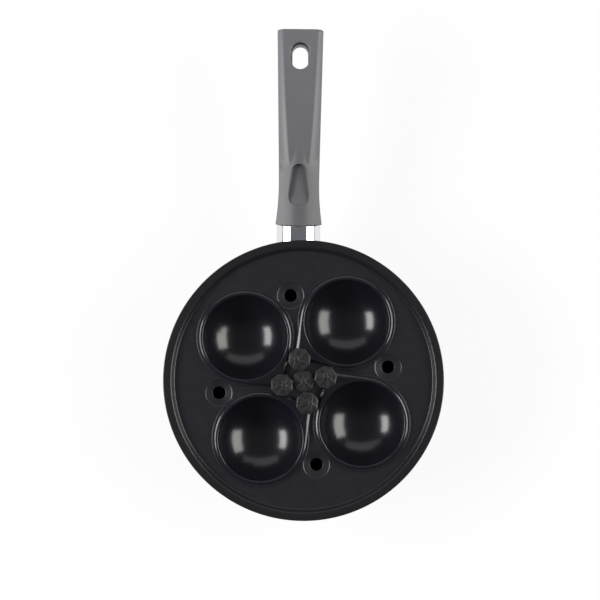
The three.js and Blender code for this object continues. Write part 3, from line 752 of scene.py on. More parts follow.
def sweep_profile(tree, given):
    """Turns the profile curve about Z: its X is the radius, and its Y the height, downwards."""
    link = tree.links.new
    profile = tree.nodes.new("GeometryNodeObjectInfo")
    circle = tree.nodes.new("GeometryNodeCurvePrimitiveCircle")
    upright = tree.nodes.new("GeometryNodeSetCurveNormal")
    inward = tree.nodes.new("GeometryNodeTransform")
    sweep = tree.nodes.new("GeometryNodeCurveToMesh")
    weld = tree.nodes.new("GeometryNodeMergeByDistance")
    circle.inputs["Radius"].default_value = 1.0
    upright.mode = "Z_UP"
    inward.inputs["Translation"].default_value = (-1.0, 0.0, 0.0)
    weld.inputs["Distance"].default_value = WELD_DISTANCE
    link(given["Profile"], profile.inputs["Object"])
    link(given["Sides"], circle.inputs["Resolution"])
    link(circle.outputs["Curve"], upright.inputs["Curve"])
    link(profile.outputs["Geometry"], inward.inputs["Geometry"])
    link(upright.outputs["Curve"], sweep.inputs["Curve"])
    link(inward.outputs["Geometry"], sweep.inputs["Profile Curve"])
    link(sweep.outputs["Mesh"], weld.inputs["Geometry"])
    return weld.outputs["Geometry"]


def turned_tree():
    """A profile turned about an axis."""
    inputs = [("Profile", "NodeSocketObject"), ("Sides", "NodeSocketInt"), *PLACED]
    tree, given, result = new_tree("Turned piece", inputs)
    end_tree(tree, sweep_profile(tree, given), given, result)
    return tree


def slotted_tree():
    """A turned screw with a driver slot across the underside of its head."""
    inputs = [
        ("Profile", "NodeSocketObject"), ("Sides", "NodeSocketInt"),
        ("Slot size", "NodeSocketVector"), ("Slot place", "NodeSocketVector"), *PLACED,
    ]
    tree, given, result = new_tree("Slotted screw", inputs)
    link = tree.links.new
    bar = tree.nodes.new("GeometryNodeMeshCube")
    move = tree.nodes.new("GeometryNodeTransform")
    difference = tree.nodes.new("GeometryNodeMeshBoolean")
    difference.operation = "DIFFERENCE"
    difference.solver = "EXACT"
    link(given["Slot size"], bar.inputs["Size"])
    link(bar.outputs["Mesh"], move.inputs["Geometry"])
    link(given["Slot place"], move.inputs["Translation"])
    link(sweep_profile(tree, given), difference.inputs["Mesh 1"])
    link(move.outputs["Geometry"], difference.inputs["Mesh 2"])
    end_tree(tree, difference.outputs["Mesh"], given, result)
    return tree


def copy_tree():
    """A copy of a pattern piece, set in its place."""
    tree, given, result = new_tree("Placed copy", [("Pattern", "NodeSocketObject"), *PLACED])
    pattern = tree.nodes.new("GeometryNodeObjectInfo")
    pattern.inputs["As Instance"].default_value = True
    tree.links.new(given["Pattern"], pattern.inputs["Object"])
    end_tree(tree, pattern.outputs["Geometry"], given, result)
    return tree


def grow(name, tree, **values):
    """Runs a tree and keeps its result as one plain mesh."""
    obj = add_object(name, bpy.data.meshes.new(name))
    modifier = obj.modifiers.new(tree.name, "NODES")
    modifier.node_group = tree
    for item in tree.interface.items_tree:
        if item.in_out == "INPUT":
            modifier[item.identifier] = values[item.name.replace(" ", "_").lower()]
    return settle(obj)


def profile_curve(points):
    """A curve object through pairs of radius and height, for turning."""
    curve = bpy.data.curves.new("profile", "CURVE")
    curve.dimensions = "3D"
    line = curve.splines.new("POLY")
    line.points.add(len(points) - 1)
    for point, (radius, height) in zip(line.points, points):
        point.co = (max(radius, 0.0), -height, 0.0, 1.0)
    return add_object("profile", curve)


def turn_piece(name, tree, points, sides, material, place=(0, 0, 0), turn=(0, 0, 0), **more):
    """A piece turned from a profile of radius and height pairs."""
    curve = profile_curve(points)
    obj = grow(name, tree, profile=curve, sides=sides, place=place, turn=turn, finish=material, **more)
    bpy.data.objects.remove(curve)
    build = bmesh.new()
    build.from_mesh(obj.data)
    obj.data = mesh_from(name, build)
    finish_mesh(obj.data, material)
    return obj


# Pan body


def pan_corner(sizes):
    """Radius from the axis to the centre of the bend between base and wall."""
    rise = sizes.pan_height - PAN_CORNER_RADIUS
    return sizes.rim_radius - rise * math.tan(PAN_TAPER) - PAN_CORNER_RADIUS / math.cos(PAN_TAPER)


def wall_radius(sizes, height):
    return sizes.rim_radius - (sizes.pan_height - height) * math.tan(PAN_TAPER)


def base_rings(pitch):
    """Turned rings under the base, from the middle outwards."""
    points = [(0.0, BASE_MIDDLE_RISE), (BASE_RING_FIRST - pitch, BASE_MIDDLE_RISE)]
    count = int((BASE_RING_LAST - BASE_RING_FIRST) / pitch)
    land, groove, groove_end = [share * pitch for share in BASE_RING_SHARES]
    for index in range(count):
        start = BASE_RING_FIRST + index * pitch
        points += [(start, 0.0), (start + land, 0.0)]
        points += [(start + groove, BASE_RING_DEPTH), (start + groove_end, BASE_RING_DEPTH)]
    return [*points, (BASE_RING_LAST + pitch, 0.0)]


def pan_profile(sizes):
    corner = (pan_corner(sizes), PAN_CORNER_RADIUS)
    outer = arc(corner, PAN_CORNER_RADIUS, -math.pi / 2, -PAN_TAPER, CORNER_STEPS)
    inner = arc(corner, PAN_CORNER_RADIUS - PAN_SHEET, -PAN_TAPER, -math.pi / 2, CORNER_STEPS)
    inside = sizes.rim_radius - PAN_SHEET / math.cos(PAN_TAPER)
    top = sizes.pan_height - PAN_RIM_ROUND
    lean = PAN_RIM_ROUND * math.tan(PAN_TAPER)
    outer_centre = (sizes.rim_radius - PAN_RIM_ROUND - lean, top)
    inner_centre = (inside + PAN_RIM_ROUND, top)
    outer_round = arc(outer_centre, PAN_RIM_ROUND, 0, math.pi / 2, ROUND_STEPS)
    inner_round = arc(inner_centre, PAN_RIM_ROUND, math.pi / 2, math.pi, ROUND_STEPS)
    floor = (0.0, PAN_SHEET)
    return [*base_rings(sizes.base_pitch), *outer, *outer_round, *inner_round, *inner, floor]


# Cups


def cup_centre(index):
    return on_circle(CUP_CIRCLE_RADIUS, CUP_FIRST_ANGLE + quarter(index))


def tab_line(index):
    """From a cup's centre to where its knob stands while the cup isn't turned in its seat."""
    return on_circle(KNOB_CIRCLE_RADIUS, KNOB_FIRST_ANGLE + quarter(index)) - cup_centre(index)


TAB_REACH = float(np.linalg.norm(tab_line(0)))


def cup_turn(index):
    """Direction of a cup's tab; each cup is turned a little in its round seat."""
    across, along = tab_line(index)
    return math.atan2(along, across) + CUP_TURNS[index]


def knob_centre(index):
    turn = cup_turn(index)
    return cup_centre(index) + TAB_REACH * np.array([math.cos(turn), math.sin(turn)])


def outline_distance(x, y):
    """Distance outside a cup's outline, with its tab along X and the next cup's knob on the +Y side."""
    across = np.abs(y)
    tip_radius = np.where(y > 0, CUP_TAB_KNOB_SIDE_RADIUS, CUP_TAB_TIP_RADIUS)
    slope = (CUP_RIM_RADIUS - tip_radius) / TAB_REACH
    cosine = np.sqrt(1 - slope ** 2)
    place = cosine * x - slope * across
    body = slope * x + cosine * across - CUP_RIM_RADIUS
    body = np.where(place < 0, np.hypot(x, y) - CUP_RIM_RADIUS, body)
    tip = np.hypot(x - TAB_REACH, y)
    body = np.where(place > cosine * TAB_REACH, tip - tip_radius, body)
    return np.minimum(body, tip - CUP_TAB_END_RADIUS)


def outline_radius(angles, offset):
    """Distance from a cup's centre to its outline, moved out by an offset, along each angle."""
    low = np.full(len(angles), CUP_RIM_RADIUS / 2)
    high = np.full(len(angles), TAB_REACH + 2 * CUP_RIM_RADIUS)
    for _ in range(HALVINGS):
        middle = (low + high) / 2
        outside = outline_distance(middle * np.cos(angles), middle * np.sin(angles)) > offset
        high = np.where(outside, middle, high)
        low = np.where(outside, low, middle)
    return (low + high) / 2


def cup_angles():
    """Angles round a cup, closer together at its tab."""
    even = np.linspace(-math.pi, math.pi, CUP_SIDES, endpoint=False)
    return even - CUP_TAB_CROWDING * np.sin(even)


class Bowl:
    """A cup's bowl, part of a sphere, in heights above its seat."""

    def __init__(self, sizes):
        drop = sizes.cup_depth - CUP_LIP_RADIUS
        self.mouth = sizes.cup_mouth
        self.radius = (self.mouth ** 2 + drop ** 2) / (2 * drop)
        self.centre = CUP_RIM_HEIGHT - sizes.cup_depth + self.radius

    def radius_at(self, height, outset=0.0):
        return math.sqrt((self.radius + outset) ** 2 - (height - self.centre) ** 2)

    def line(self, height, outset, steps):
        rise = math.asin((height - self.centre) / (self.radius + outset))
        return arc((0.0, self.centre), self.radius + outset, -math.pi / 2, rise, steps)


def bevel_width(angles):
    """Width of the bevel round a cup's edge, wider along its tab."""
    reach = outline_radius(angles, 0.0) / CUP_RIM_RADIUS
    widening = smooth_step(reach, *CUP_TAB_BEVEL_REACH)
    return CUP_BEVEL_WIDTH + (CUP_TAB_BEVEL_WIDTH - CUP_BEVEL_WIDTH) * widening


def cup_edge(bevel):
    """Offset and height pairs over a cup's bevelled edge and down to its seat."""
    drop = math.tan(CUP_BEVEL_ANGLE)
    rounding = CUP_EDGE_ROUND
    last = rounding * (1 - math.sin(CUP_BEVEL_ANGLE))
    pairs = [(-bevel * (1 - share), CUP_RIM_HEIGHT - bevel * share * drop) for share in CUP_BEVEL_SHARES]
    low = CUP_RIM_HEIGHT - (bevel - last) * drop - rounding * math.cos(CUP_BEVEL_ANGLE)
    for outset, rise in arc((-rounding, 0.0), rounding, math.pi / 2 - CUP_BEVEL_ANGLE, 0, ROUND_STEPS):
        pairs.append((outset, low + rise))
    pairs += [(0.0, CUP_SEAT_ROUND), (-CUP_SEAT_ROUND, CUP_SEAT_GAP)]
    return [*pairs, (-CUP_SHEET, CUP_SEAT_GAP), (-CUP_SHEET, CUP_RIM_HEIGHT - CUP_SHEET)]


def cup_rings(bowl):
    """Rings of a cup from the inside of its bowl, over its rim and tab, to the bowl's underside."""
    angles = cup_angles()
    bevel = bevel_width(angles)
    round_rings = bowl.line(CUP_RIM_HEIGHT - CUP_LIP_RADIUS, 0.0, BOWL_STEPS)
    lip_centre = (bowl.mouth + CUP_LIP_RADIUS, CUP_RIM_HEIGHT - CUP_LIP_RADIUS)
    round_rings += arc(lip_centre, CUP_LIP_RADIUS, math.pi, math.pi / 2, FINE_STEPS)[1:]
    radii = [np.full(len(angles), radius) for radius, _ in round_rings]
    heights = [height for _, height in round_rings]
    inner_flat = bowl.mouth + CUP_LIP_RADIUS
    outer_flat = outline_radius(angles, -bevel)
    for share in np.linspace(0, 1, BEND_STEPS + 1)[1:-1]:
        radii.append(inner_flat + (outer_flat - inner_flat) * share)
        heights.append(CUP_RIM_HEIGHT)
    for outset, height in cup_edge(bevel):
        radii.append(outline_radius(angles, outset))
        heights.append(height)
    underside = bowl.line(CUP_RIM_HEIGHT - CUP_SHEET, CUP_SHEET, BOWL_UNDERSIDE_STEPS)
    for radius, height in reversed(underside):
        radii.append(np.full(len(angles), radius))
        heights.append(height)
    across = np.cos(angles)
    along = np.sin(angles)
    level = np.ones(len(angles))
    return [np.column_stack((r * across, r * along, h * level)) for r, h in zip(radii, heights)]


def cup_mesh(index, bowl, material):
    place = Matrix.Translation((*cup_centre(index), CUP_RIM_TOP - CUP_RIM_HEIGHT))
    place = place @ Matrix.Rotation(cup_turn(index), 4, "Z")
    build = loft(cup_rings(bowl))
    bmesh.ops.transform(build, matrix=place, verts=build.verts)
    mesh = mesh_from(f"{CUP_NAMES[index]}_bowl", build)
    finish_mesh(mesh, material)
    return mesh


# Tray


def bend_over(radius, angle):
    """Run and drop pairs over a bend that starts level."""
    bend = arc((0.0, -radius), radius, math.pi / 2, math.pi / 2 - angle, BEND_STEPS)
    return [(x, -y) for x, y in bend]


def s_bend(upper_radius, lower_radius, angle, depth):
    """Run and drop pairs of a pressed step: a bend over, a straight slope and a bend back."""
    upper = bend_over(upper_radius, angle)
    lower = bend_over(lower_radius, angle)
    straight = (depth - upper[-1][1] - lower[-1][1]) / math.tan(angle)
    whole = upper[-1][0] + straight + lower[-1][0]
    return [*upper, *[(whole - x, depth - y) for x, y in reversed(lower)]]


def tray_edge(sizes):
    """Radius and height pairs over the tray's edge, from the flat plate out to the flange's edge."""
    inside = sizes.rim_radius - PAN_SHEET / math.cos(PAN_TAPER)
    flange_inner = inside - TRAY_RIM_CLEARANCE
    step = s_bend(TRAY_UPPER_BEND, TRAY_LOWER_BEND, TRAY_STEP_ANGLE, FLANGE_TOP - PLATE_TOP)
    line = [(flange_inner - run, FLANGE_TOP - drop) for run, drop in reversed(step)]
    half = TRAY_SHEET / 2
    edge = arc((sizes.flange_radius - half, FLANGE_TOP - half), half, math.pi / 2, 0, BEND_STEPS)
    return [*line, *edge]


def seat_profile():
    """Radius from a cup's centre and height pairs over the edge of its raised seat."""
    angle = math.acos(1 - SEAT_RISE / (2 * SEAT_BEND))
    step = s_bend(SEAT_BEND, SEAT_BEND, angle, SEAT_RISE)
    start = CUP_RIM_RADIUS + SEAT_MARGIN + (SEAT_SLOPE - step[-1][0]) / 2
    return [(start + run, SEAT_RISE - drop) for run, drop in step]


def vent_centre(index):
    return on_circle(VENT_CIRCLE_RADIUS, VENT_FIRST_ANGLE + quarter(index))


def vent_profile(sizes):
    """Radius and depth pairs of a dished steam vent, from its hole to the plate."""
    hole = sizes.vent_radius
    rolled = [(hole + HOLE_ROUND * (1 - math.cos(a)), VENT_DISH_DEPTH + HOLE_ROUND * (1 - math.sin(a)))
              for a in np.linspace(VENT_ROLL_START, math.pi / 2, EDGE_STEPS + 1)]
    lip = [(VENT_DISH_RADIUS + VENT_LIP_RUN * share, VENT_LIP_DROP * (1 - smooth_step(share, 0, 1)))
           for share in np.linspace(0.0, 1.0, FINE_STEPS + 1)]
    return [*rolled, *lip]


class TraySurface:
    """Height of the tray's upper face, and the points that its mesh needs."""

    def __init__(self, sizes, bowl):
        self.edge = np.array(tray_edge(sizes))
        self.seat = np.array(seat_profile())
        self.vent = np.array(vent_profile(sizes))
        self.hole = bowl.radius_at(0.0, CUP_SHEET) + SEAT_HOLE_CLEARANCE
        self.cups = [cup_centre(i) for i in range(CUP_COUNT)]
        self.vents = [vent_centre(i) for i in range(CUP_COUNT)]

    def centre_distance(self, points, centres):
        return np.min([np.hypot(*(points - centre).T) for centre in centres], axis=0)

    def hole_distance(self, points):
        """Distance outside the nearest cup hole."""
        return self.centre_distance(points, self.cups) - self.hole

    def height(self, points):
        radius = np.hypot(*points.T)
        level = np.interp(radius, *self.edge.T)
        level = level + np.interp(self.centre_distance(points, self.cups), *self.seat.T)
        level = level - np.interp(self.centre_distance(points, self.vents), *self.vent.T, right=0.0)
        lip = np.clip(1 - self.hole_distance(points) / HOLE_ROUND, 0, 1)
        return level - HOLE_ROUND * (1 - np.sqrt(1 - lip ** 2))

    def ring(self, centre, radius, count):
        angles = np.linspace(0, 2 * math.pi, count, endpoint=False)
        return np.asarray(centre) + radius * np.column_stack((np.cos(angles), np.sin(angles)))

    def points(self):
        """Places of the mesh's points, with the loops round its holes and its edge first."""
        lips = [self.hole + HOLE_ROUND * share for share in HOLE_ROUND_SHARES]
        loops = [self.ring((0, 0), self.edge[-1, 0], FLANGE_SIDES)]
        loops += [self.ring(centre, self.hole, SEAT_SIDES) for centre in self.cups]
        loops += [self.ring(centre, self.vent[0, 0], VENT_SIDES) for centre in self.vents]
        spare = [self.ring((0, 0), radius, FLANGE_SIDES) for radius in self.edge[:-1, 0]]
        shaped = (
            (self.cups, lips, SEAT_SIDES), (self.cups, self.seat[:, 0], SEAT_SIDES),
            (self.vents, self.vent[1:, 0], VENT_SIDES),
        )
        for centres, radii, sides in shaped:
            spare += [self.ring(centre, radius, sides) for centre in centres for radius in radii]
        kept = np.concatenate([*spare, self.filler()])
        return loops, kept[self.hole_distance(kept) > HOLE_MARGIN]

    def filler(self):
        """A coarse grid for the flat places, clear of every shaped one."""
        reach = np.arange(-FILLER_REACH, FILLER_REACH, FILLER_PITCH)
        across, along = np.meshgrid(reach, reach)
        grid = np.column_stack((across.ravel(), along.ravel()))
        room = FILLER_PITCH / 2
        clear = self.centre_distance(grid, self.cups) > self.seat[-1, 0] + room
        clear &= self.centre_distance(grid, self.vents) > self.vent[-1, 0] + room
        clear &= np.hypot(*grid.T) < self.edge[0, 0] - room
        return grid[clear]


def tray_mesh(sizes, bowl, material):
    surface = TraySurface(sizes, bowl)
    loops, spare = surface.points()
    edges = []
    start = 0
    for loop in loops:
        count = len(loop)
        edges += [(start + i, start + (i + 1) % count) for i in range(count)]
        start += count
    flat = np.concatenate([*loops, spare])
    places, _, faces, *_ = delaunay_2d_cdt([Vector(p) for p in flat], edges, [], 0, TINY)
    places = np.array([tuple(p) for p in places])
    faces = np.array(faces)
    middle = places[faces].mean(axis=1)
    solid = surface.hole_distance(middle) > 0
    solid &= surface.centre_distance(middle, surface.vents) > surface.vent[0, 0]
    solid &= np.hypot(*middle.T) < sizes.flange_radius
    faces = faces[solid]
    top = surface.height(places)
    radius = np.hypot(*places.T)
    rim = surface.edge[-(BEND_STEPS + 1):]
    lift = np.interp(radius, rim[:, 0], 2 * (FLANGE_TOP - rim[:, 1]))
    under = top - TRAY_SHEET + lift
    build = bmesh.new()
    upper = [build.verts.new((*place, height)) for place, height in zip(places, top)]
    lower = [build.verts.new((*place, height)) for place, height in zip(places, under)]
    for a, b, c in faces:
        build.faces.new((upper[a], upper[b], upper[c]))
        build.faces.new((lower[c], lower[b], lower[a]))
    twin = dict(zip(upper, lower))
    for edge in [e for e in build.edges if len(e.link_faces) == 1 and e.verts[0] in twin]:
        first, second = edge.verts
        build.faces.new((second, first, twin[first], twin[second]))
    loose = [vertex for vertex in build.verts if not vertex.link_faces]
    bmesh.ops.delete(build, geom=loose, context="VERTS")
    mesh = mesh_from("tray_plate", build)
    finish_mesh(mesh, material)
    return mesh


# Knobs


def knob_pattern(sizes, lean):
    """An eight-sided knob at the origin, its crown cut in sixteen facets that meet off its middle."""
    shoulder = KNOB_BAND_HEIGHT + KNOB_BEVEL
    levels = [
        (0.0, 0.0, 0, 0), (KNOB_FOOT_RADIUS, 0.0, 0, 0), (KNOB_FOOT_RADIUS, KNOB_FOOT_HEIGHT, 0, 0),
        (sizes.knob_radius, KNOB_BAND_HEIGHT, 0, 0), (sizes.knob_radius, shoulder, 0, 0),
        (sizes.knob_radius - KNOB_BEVEL, shoulder + KNOB_BEVEL, 0, 0),
        (KNOB_CROWN_RADIUS, KNOB_HEIGHT - KNOB_CROWN_DROP, KNOB_RIDGE, 1),
        (KNOB_TIP_RADIUS, KNOB_HEIGHT - KNOB_TIP_DROP, 0, 1), (0.0, KNOB_HEIGHT, 0, 1),
    ]
    flat = math.cos(math.pi / KNOB_SIDES)
    rings = []
    for radius, height, ridge, leaning in levels:
        ring = []
        for step in range(2 * KNOB_SIDES):
            angle = step * math.pi / KNOB_SIDES
            middle = step % 2
            reach = radius * (flat if middle else 1.0)
            x = reach * math.cos(angle) + lean[0] * leaning
            y = reach * math.sin(angle) + lean[1] * leaning
            ring.append((x, y, height - ridge * middle))
        rings.append(ring)
    pattern = add_object("knob_pattern", mesh_from("knob_pattern", loft(rings)))
    bevel = pattern.modifiers.new("edges", "BEVEL")
    bevel.width = KNOB_EDGE_ROUND
    bevel.segments = KNOB_EDGE_SEGMENTS
    bevel.limit_method = "ANGLE"
    bevel.angle_limit = KNOB_EDGE_ANGLE
    return settle(pattern)


# Grip and ferrule


def handle_matrix(sizes):
    start = Matrix.Translation((0.0, wall_radius(sizes, HANDLE_HEIGHT), HANDLE_HEIGHT))
    return start @ Matrix.Rotation(-HANDLE_SWING, 4, "Z") @ Matrix.Rotation(HANDLE_SLOPE, 4, "X")


def mix(ends, share):
    return ends[0] + (ends[1] - ends[0]) * share


def smooth_step(value, start, end):
    share = np.clip((value - start) / (end - start), 0, 1)
    return share * share * (3 - 2 * share)


def smooth_min(first, second, width):
    """The lesser of two heights, with the crease between them rounded over a width."""
    share = np.clip(0.5 + 0.5 * (second - first) / width, 0, 1)
    return second + (first - second) * share - width * share * (1 - share)


def grip_half(share):
    """Half width of the grip: flared at the ferrule, narrowest at the neck, wider to the end."""
    flare = np.clip((GRIP_NECK_SHARE - share) / GRIP_NECK_SHARE, 0, 1) ** GRIP_FLARE_POWER
    along = np.clip((share - GRIP_NECK_SHARE) / (1 - GRIP_NECK_SHARE), 0, 1) ** GRIP_WIDENING_POWER
    flared = (GRIP_FRONT_HALF - GRIP_NECK_HALF) * flare
    widened = (GRIP_END_HALF - GRIP_NECK_HALF) * along
    return GRIP_NECK_HALF + flared + widened


def panel_half(share):
    """Half width of the flat panel on top."""
    bent = np.maximum(share, PANEL_BEND_SHARE)
    along = np.clip((bent - GRIP_PANEL_SHARE) / (1 - GRIP_PANEL_SHARE), 0, 1) ** GRIP_PANEL_POWER
    widened = (GRIP_PANEL_END - GRIP_PANEL_NEAR) * along
    return GRIP_PANEL_NEAR + widened - PANEL_NEAR_TAPER * (bent - share)


def thumb_distance(across, along, length):
    """Distance outside the thumb dish's egg-shaped outline."""
    reach = (THUMB_FAR_SHARE - THUMB_NEAR_SHARE) * length
    x = along - THUMB_NEAR_SHARE * length
    y = np.abs(across)
    slope = (THUMB_NEAR_RADIUS - THUMB_FAR_RADIUS) / reach
    cosine = math.sqrt(1 - slope ** 2)
    place = cosine * x - slope * y
    egg = slope * x + cosine * y - THUMB_NEAR_RADIUS
    squarish = (np.abs(x) ** THUMB_NEAR_POWER + y ** THUMB_NEAR_POWER) ** (1 / THUMB_NEAR_POWER)
    egg = np.where(place < 0, squarish - THUMB_NEAR_RADIUS, egg)
    return np.where(place > cosine * reach, np.hypot(x - reach, y) - THUMB_FAR_RADIUS, egg)


def thumb_share(across, along, sizes):
    """Share of the thumb dish's depth: full at its far end, then a ramp up to its near end."""
    crease = THUMB_NEAR_SHARE * sizes.grip_length
    ramp = 1 - (1 - THUMB_RAMP_END) * np.clip((crease - along) / THUMB_NEAR_RADIUS, 0, 1)
    inside = -thumb_distance(across, along, sizes.grip_length)
    return ramp * smooth_step(inside, -THUMB_WALL / 4, THUMB_WALL)


def grip_crest(share):
    """Height of the grip's middle: a hump at the neck that falls under the panel."""
    shares = (0.0, GRIP_HUMP_SHARE, GRIP_FALL_SHARE, 1.0)
    fall = (GRIP_HUMP_TOP - GRIP_PANEL_TOP) / (GRIP_FALL_SHARE - GRIP_HUMP_SHARE)
    end = GRIP_PANEL_TOP - fall * (1.0 - GRIP_FALL_SHARE)
    return np.interp(share, shares, (GRIP_FRONT_TOP, GRIP_HUMP_TOP, GRIP_PANEL_TOP, end))


def panel_level(share, length):
    """Height of the flat panel, which sinks into the neck at its near end."""
    fall = (GRIP_END_TOP - GRIP_PANEL_TOP) * (share - GRIP_FALL_SHARE) / (1 - GRIP_FALL_SHARE)
    return GRIP_PANEL_TOP + fall - PANEL_FADE_SLOPE * length * np.maximum(PANEL_FADE_SHARE - share, 0)


def slot_distance(across, along, sizes):
    """Distance outside the hanging slot's outline."""
    straight = (sizes.slot_length - sizes.slot_width) / 2
    y = np.maximum(np.abs(along - SLOT_SHARE * sizes.grip_length) - straight, 0)
    return np.hypot(across, y) - sizes.slot_width / 2 - SLOT_DRAFT / 2


def rounded_drop(distance, radius):
    """Drop of a surface whose edge is rounded at distance 0."""
    inside = np.clip(1 - distance / radius, 0, 1)
    return radius * (1 - np.sqrt(1 - inside ** 2))


def grip_top(across, along, half, sizes):
    """Height of the grip's upper side: a panel, two bevels a side, a round neck and a thumb dish."""
    share = along / sizes.grip_length
    level = panel_level(share, sizes.grip_length)
    crest = grip_crest(share)
    side = np.abs(across)
    panel = panel_half(share)
    middle = panel + (half - panel) * GRIP_BEVEL_SPLIT
    inner = level - (side - panel) * GRIP_INNER_SLOPE
    outer = level - (middle - panel) * GRIP_INNER_SLOPE - (side - middle) * GRIP_OUTER_SLOPE
    bevelled = smooth_min(smooth_min(level, inner, GRIP_BEVEL_BLEND), outer, GRIP_BEVEL_BLEND)
    slope = NECK_SLOPE + (HUMP_SLOPE - NECK_SLOPE) * smooth_step(share, *HUMP_SHARES)
    crown = crest - slope * (side - NECK_ROUND * np.arctan(side / NECK_ROUND))
    blend = PANEL_BLEND + PANEL_BLEND_GROWTH * np.maximum(side - panel, 0)
    top = -smooth_min(-crown, -bevelled, blend)
    floor = crest - THUMB_DEPTH
    top = top + (np.minimum(top, floor) - top) * thumb_share(across, along, sizes)
    return top - rounded_drop(slot_distance(across, along, sizes), SLOT_ROUND)


def grip_section(along, sizes, steps):
    """One section of the grip, as across and up pairs: over the top, then round the underside."""
    length = sizes.grip_length
    share = along / length
    half = float(grip_half(np.array(share)))
    end = max(0.0, (along - (length - GRIP_END_ROUND)) / GRIP_END_ROUND)
    inset = GRIP_END_ROUND * (1 - math.sqrt(max(0.0, 1 - min(end, 1.0) ** 2)))
    front = max(0.0, 1 - along / GRIP_FRONT_ROUND)
    inset += GRIP_FRONT_ROUND * (1 - math.sqrt(1 - front ** 2))
    angles = np.linspace(0, math.pi, steps)
    across = half * np.sign(np.cos(angles)) * np.abs(np.cos(angles)) ** GRIP_CROWDING_POWER
    up = grip_top(across, np.full(steps, along), half, sizes)
    up -= rounded_drop(half - np.abs(across), GRIP_EDGE_ROUND)
    bottom = mix(GRIP_BOTTOM, share)
    lower = np.linspace(math.pi, 2 * math.pi, steps)[1:-1]
    under_across = half * np.sign(np.cos(lower)) * np.abs(np.cos(lower)) ** GRIP_UNDER_POWER
    edge = up[0]
    under_up = edge + (edge - bottom) * -np.abs(np.sin(lower)) ** GRIP_UNDER_POWER
    across = np.concatenate((across, under_across))
    up = np.concatenate((up, under_up))
    top_level = mix((GRIP_FRONT_TOP, GRIP_END_TOP), share)
    middle = (top_level + bottom) / 2
    tall = (top_level - bottom) / 2
    return across * (1 - inset / half), middle + (up - middle) * (1 - inset / tall)


def grip_point(along, across, up, sizes):
    """A point of the grip in the handle's frame: its centreline bends down from the ferrule's end."""
    radius = sizes.grip_length / GRIP_BEND
    bend = along / radius
    y = FERRULE_LENGTH + radius * math.sin(bend) + up * math.sin(bend)
    z = radius * (math.cos(bend) - 1) + up * math.cos(bend)
    return np.column_stack((across, y, z))


def grip_mesh(sizes):
    length = sizes.grip_length
    last = 1 - GRIP_END_ROUND / length
    places = [GRIP_FRONT_ROUND * (1 - np.cos(np.linspace(0, math.pi / 2, ROUND_STEPS + 1)))]
    start = 0.0
    for stop, count in (*GRIP_STRETCHES, (last, GRIP_LAST_COUNT)):
        places.append(np.linspace(start, stop, count + 1)[1:] * length)
        start = stop
    over_end = np.sin(np.linspace(0, math.pi / 2, END_STEPS + 1))[1:]
    places.append(length - GRIP_END_ROUND + GRIP_END_ROUND * over_end)
    rings = []
    for along in np.concatenate(places):
        across, up = grip_section(along, sizes, GRIP_POINTS)
        rings.append(grip_point(along, across, up, sizes))
    build = loft(rings, cap_ends=True)
    bmesh.ops.transform(build, matrix=handle_matrix(sizes), verts=build.verts)
    return mesh_from("grip", build)


def cutter(name, rings, place):
    """A closed shape through rings, for cutting."""
    build = loft(rings, cap_ends=True)
    bmesh.ops.transform(build, matrix=place, verts=build.verts)
    return add_object(name, mesh_from(name, build))


def slot_cutter(sizes, material, painted_shade_material):
    """The hanging slot's shape; its upper wall gets the dark plastic that stands for painted shade."""
    straight = (sizes.slot_length - sizes.slot_width) / 2
    depth = GRIP_END_TOP - GRIP_BOTTOM[1]
    levels = []
    for height in (-depth, SLOT_SHADE_HEIGHT, depth):
        radius = sizes.slot_width / 2 + SLOT_DRAFT * (height - GRIP_END_TOP / 2) / depth
        far = arc((0, straight), radius, 0, math.pi, SLOT_STEPS)
        near = arc((0, -straight), radius, math.pi, 2 * math.pi, SLOT_STEPS)
        levels.append([(x, y, height) for x, y in (*far, *near)])
    bend = GRIP_BEND * SLOT_SHARE
    swing = sizes.grip_length / GRIP_BEND
    away = FERRULE_LENGTH + swing * math.sin(bend)
    on_grip = Matrix.Translation((0, away, swing * (math.cos(bend) - 1))) @ Matrix.Rotation(-bend, 4, "X")
    place = handle_matrix(sizes) @ on_grip
    made = cutter("slot_cutter", levels, place)
    made.data.materials.append(material)
    made.data.materials.append(painted_shade_material)
    upright = place.inverted()
    for face in made.data.polygons:
        # Faces above this height get the dark plastic: painted shade
        face.material_index = int((upright @ face.center).z > SLOT_SHADE_HEIGHT)
    return made


def screw_room_cutter(sizes):
    """The round recess under the grip that the handle screw's head sits in."""
    low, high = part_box("handle_screw")
    outline = arc((0, 0), (high[0] - low[0]) / 2 + WALL_GAP, 0, 2 * math.pi, SCREW_ROOM_SIDES)[:-1]
    place = handle_matrix(sizes) @ Matrix.Translation((0, FERRULE_LENGTH + HANDLE_SCREW_AT, 0))
    rings = [[(x, y, height) for x, y in outline] for height in SCREW_ROOM]
    return cutter("screw_room_cutter", rings, place)


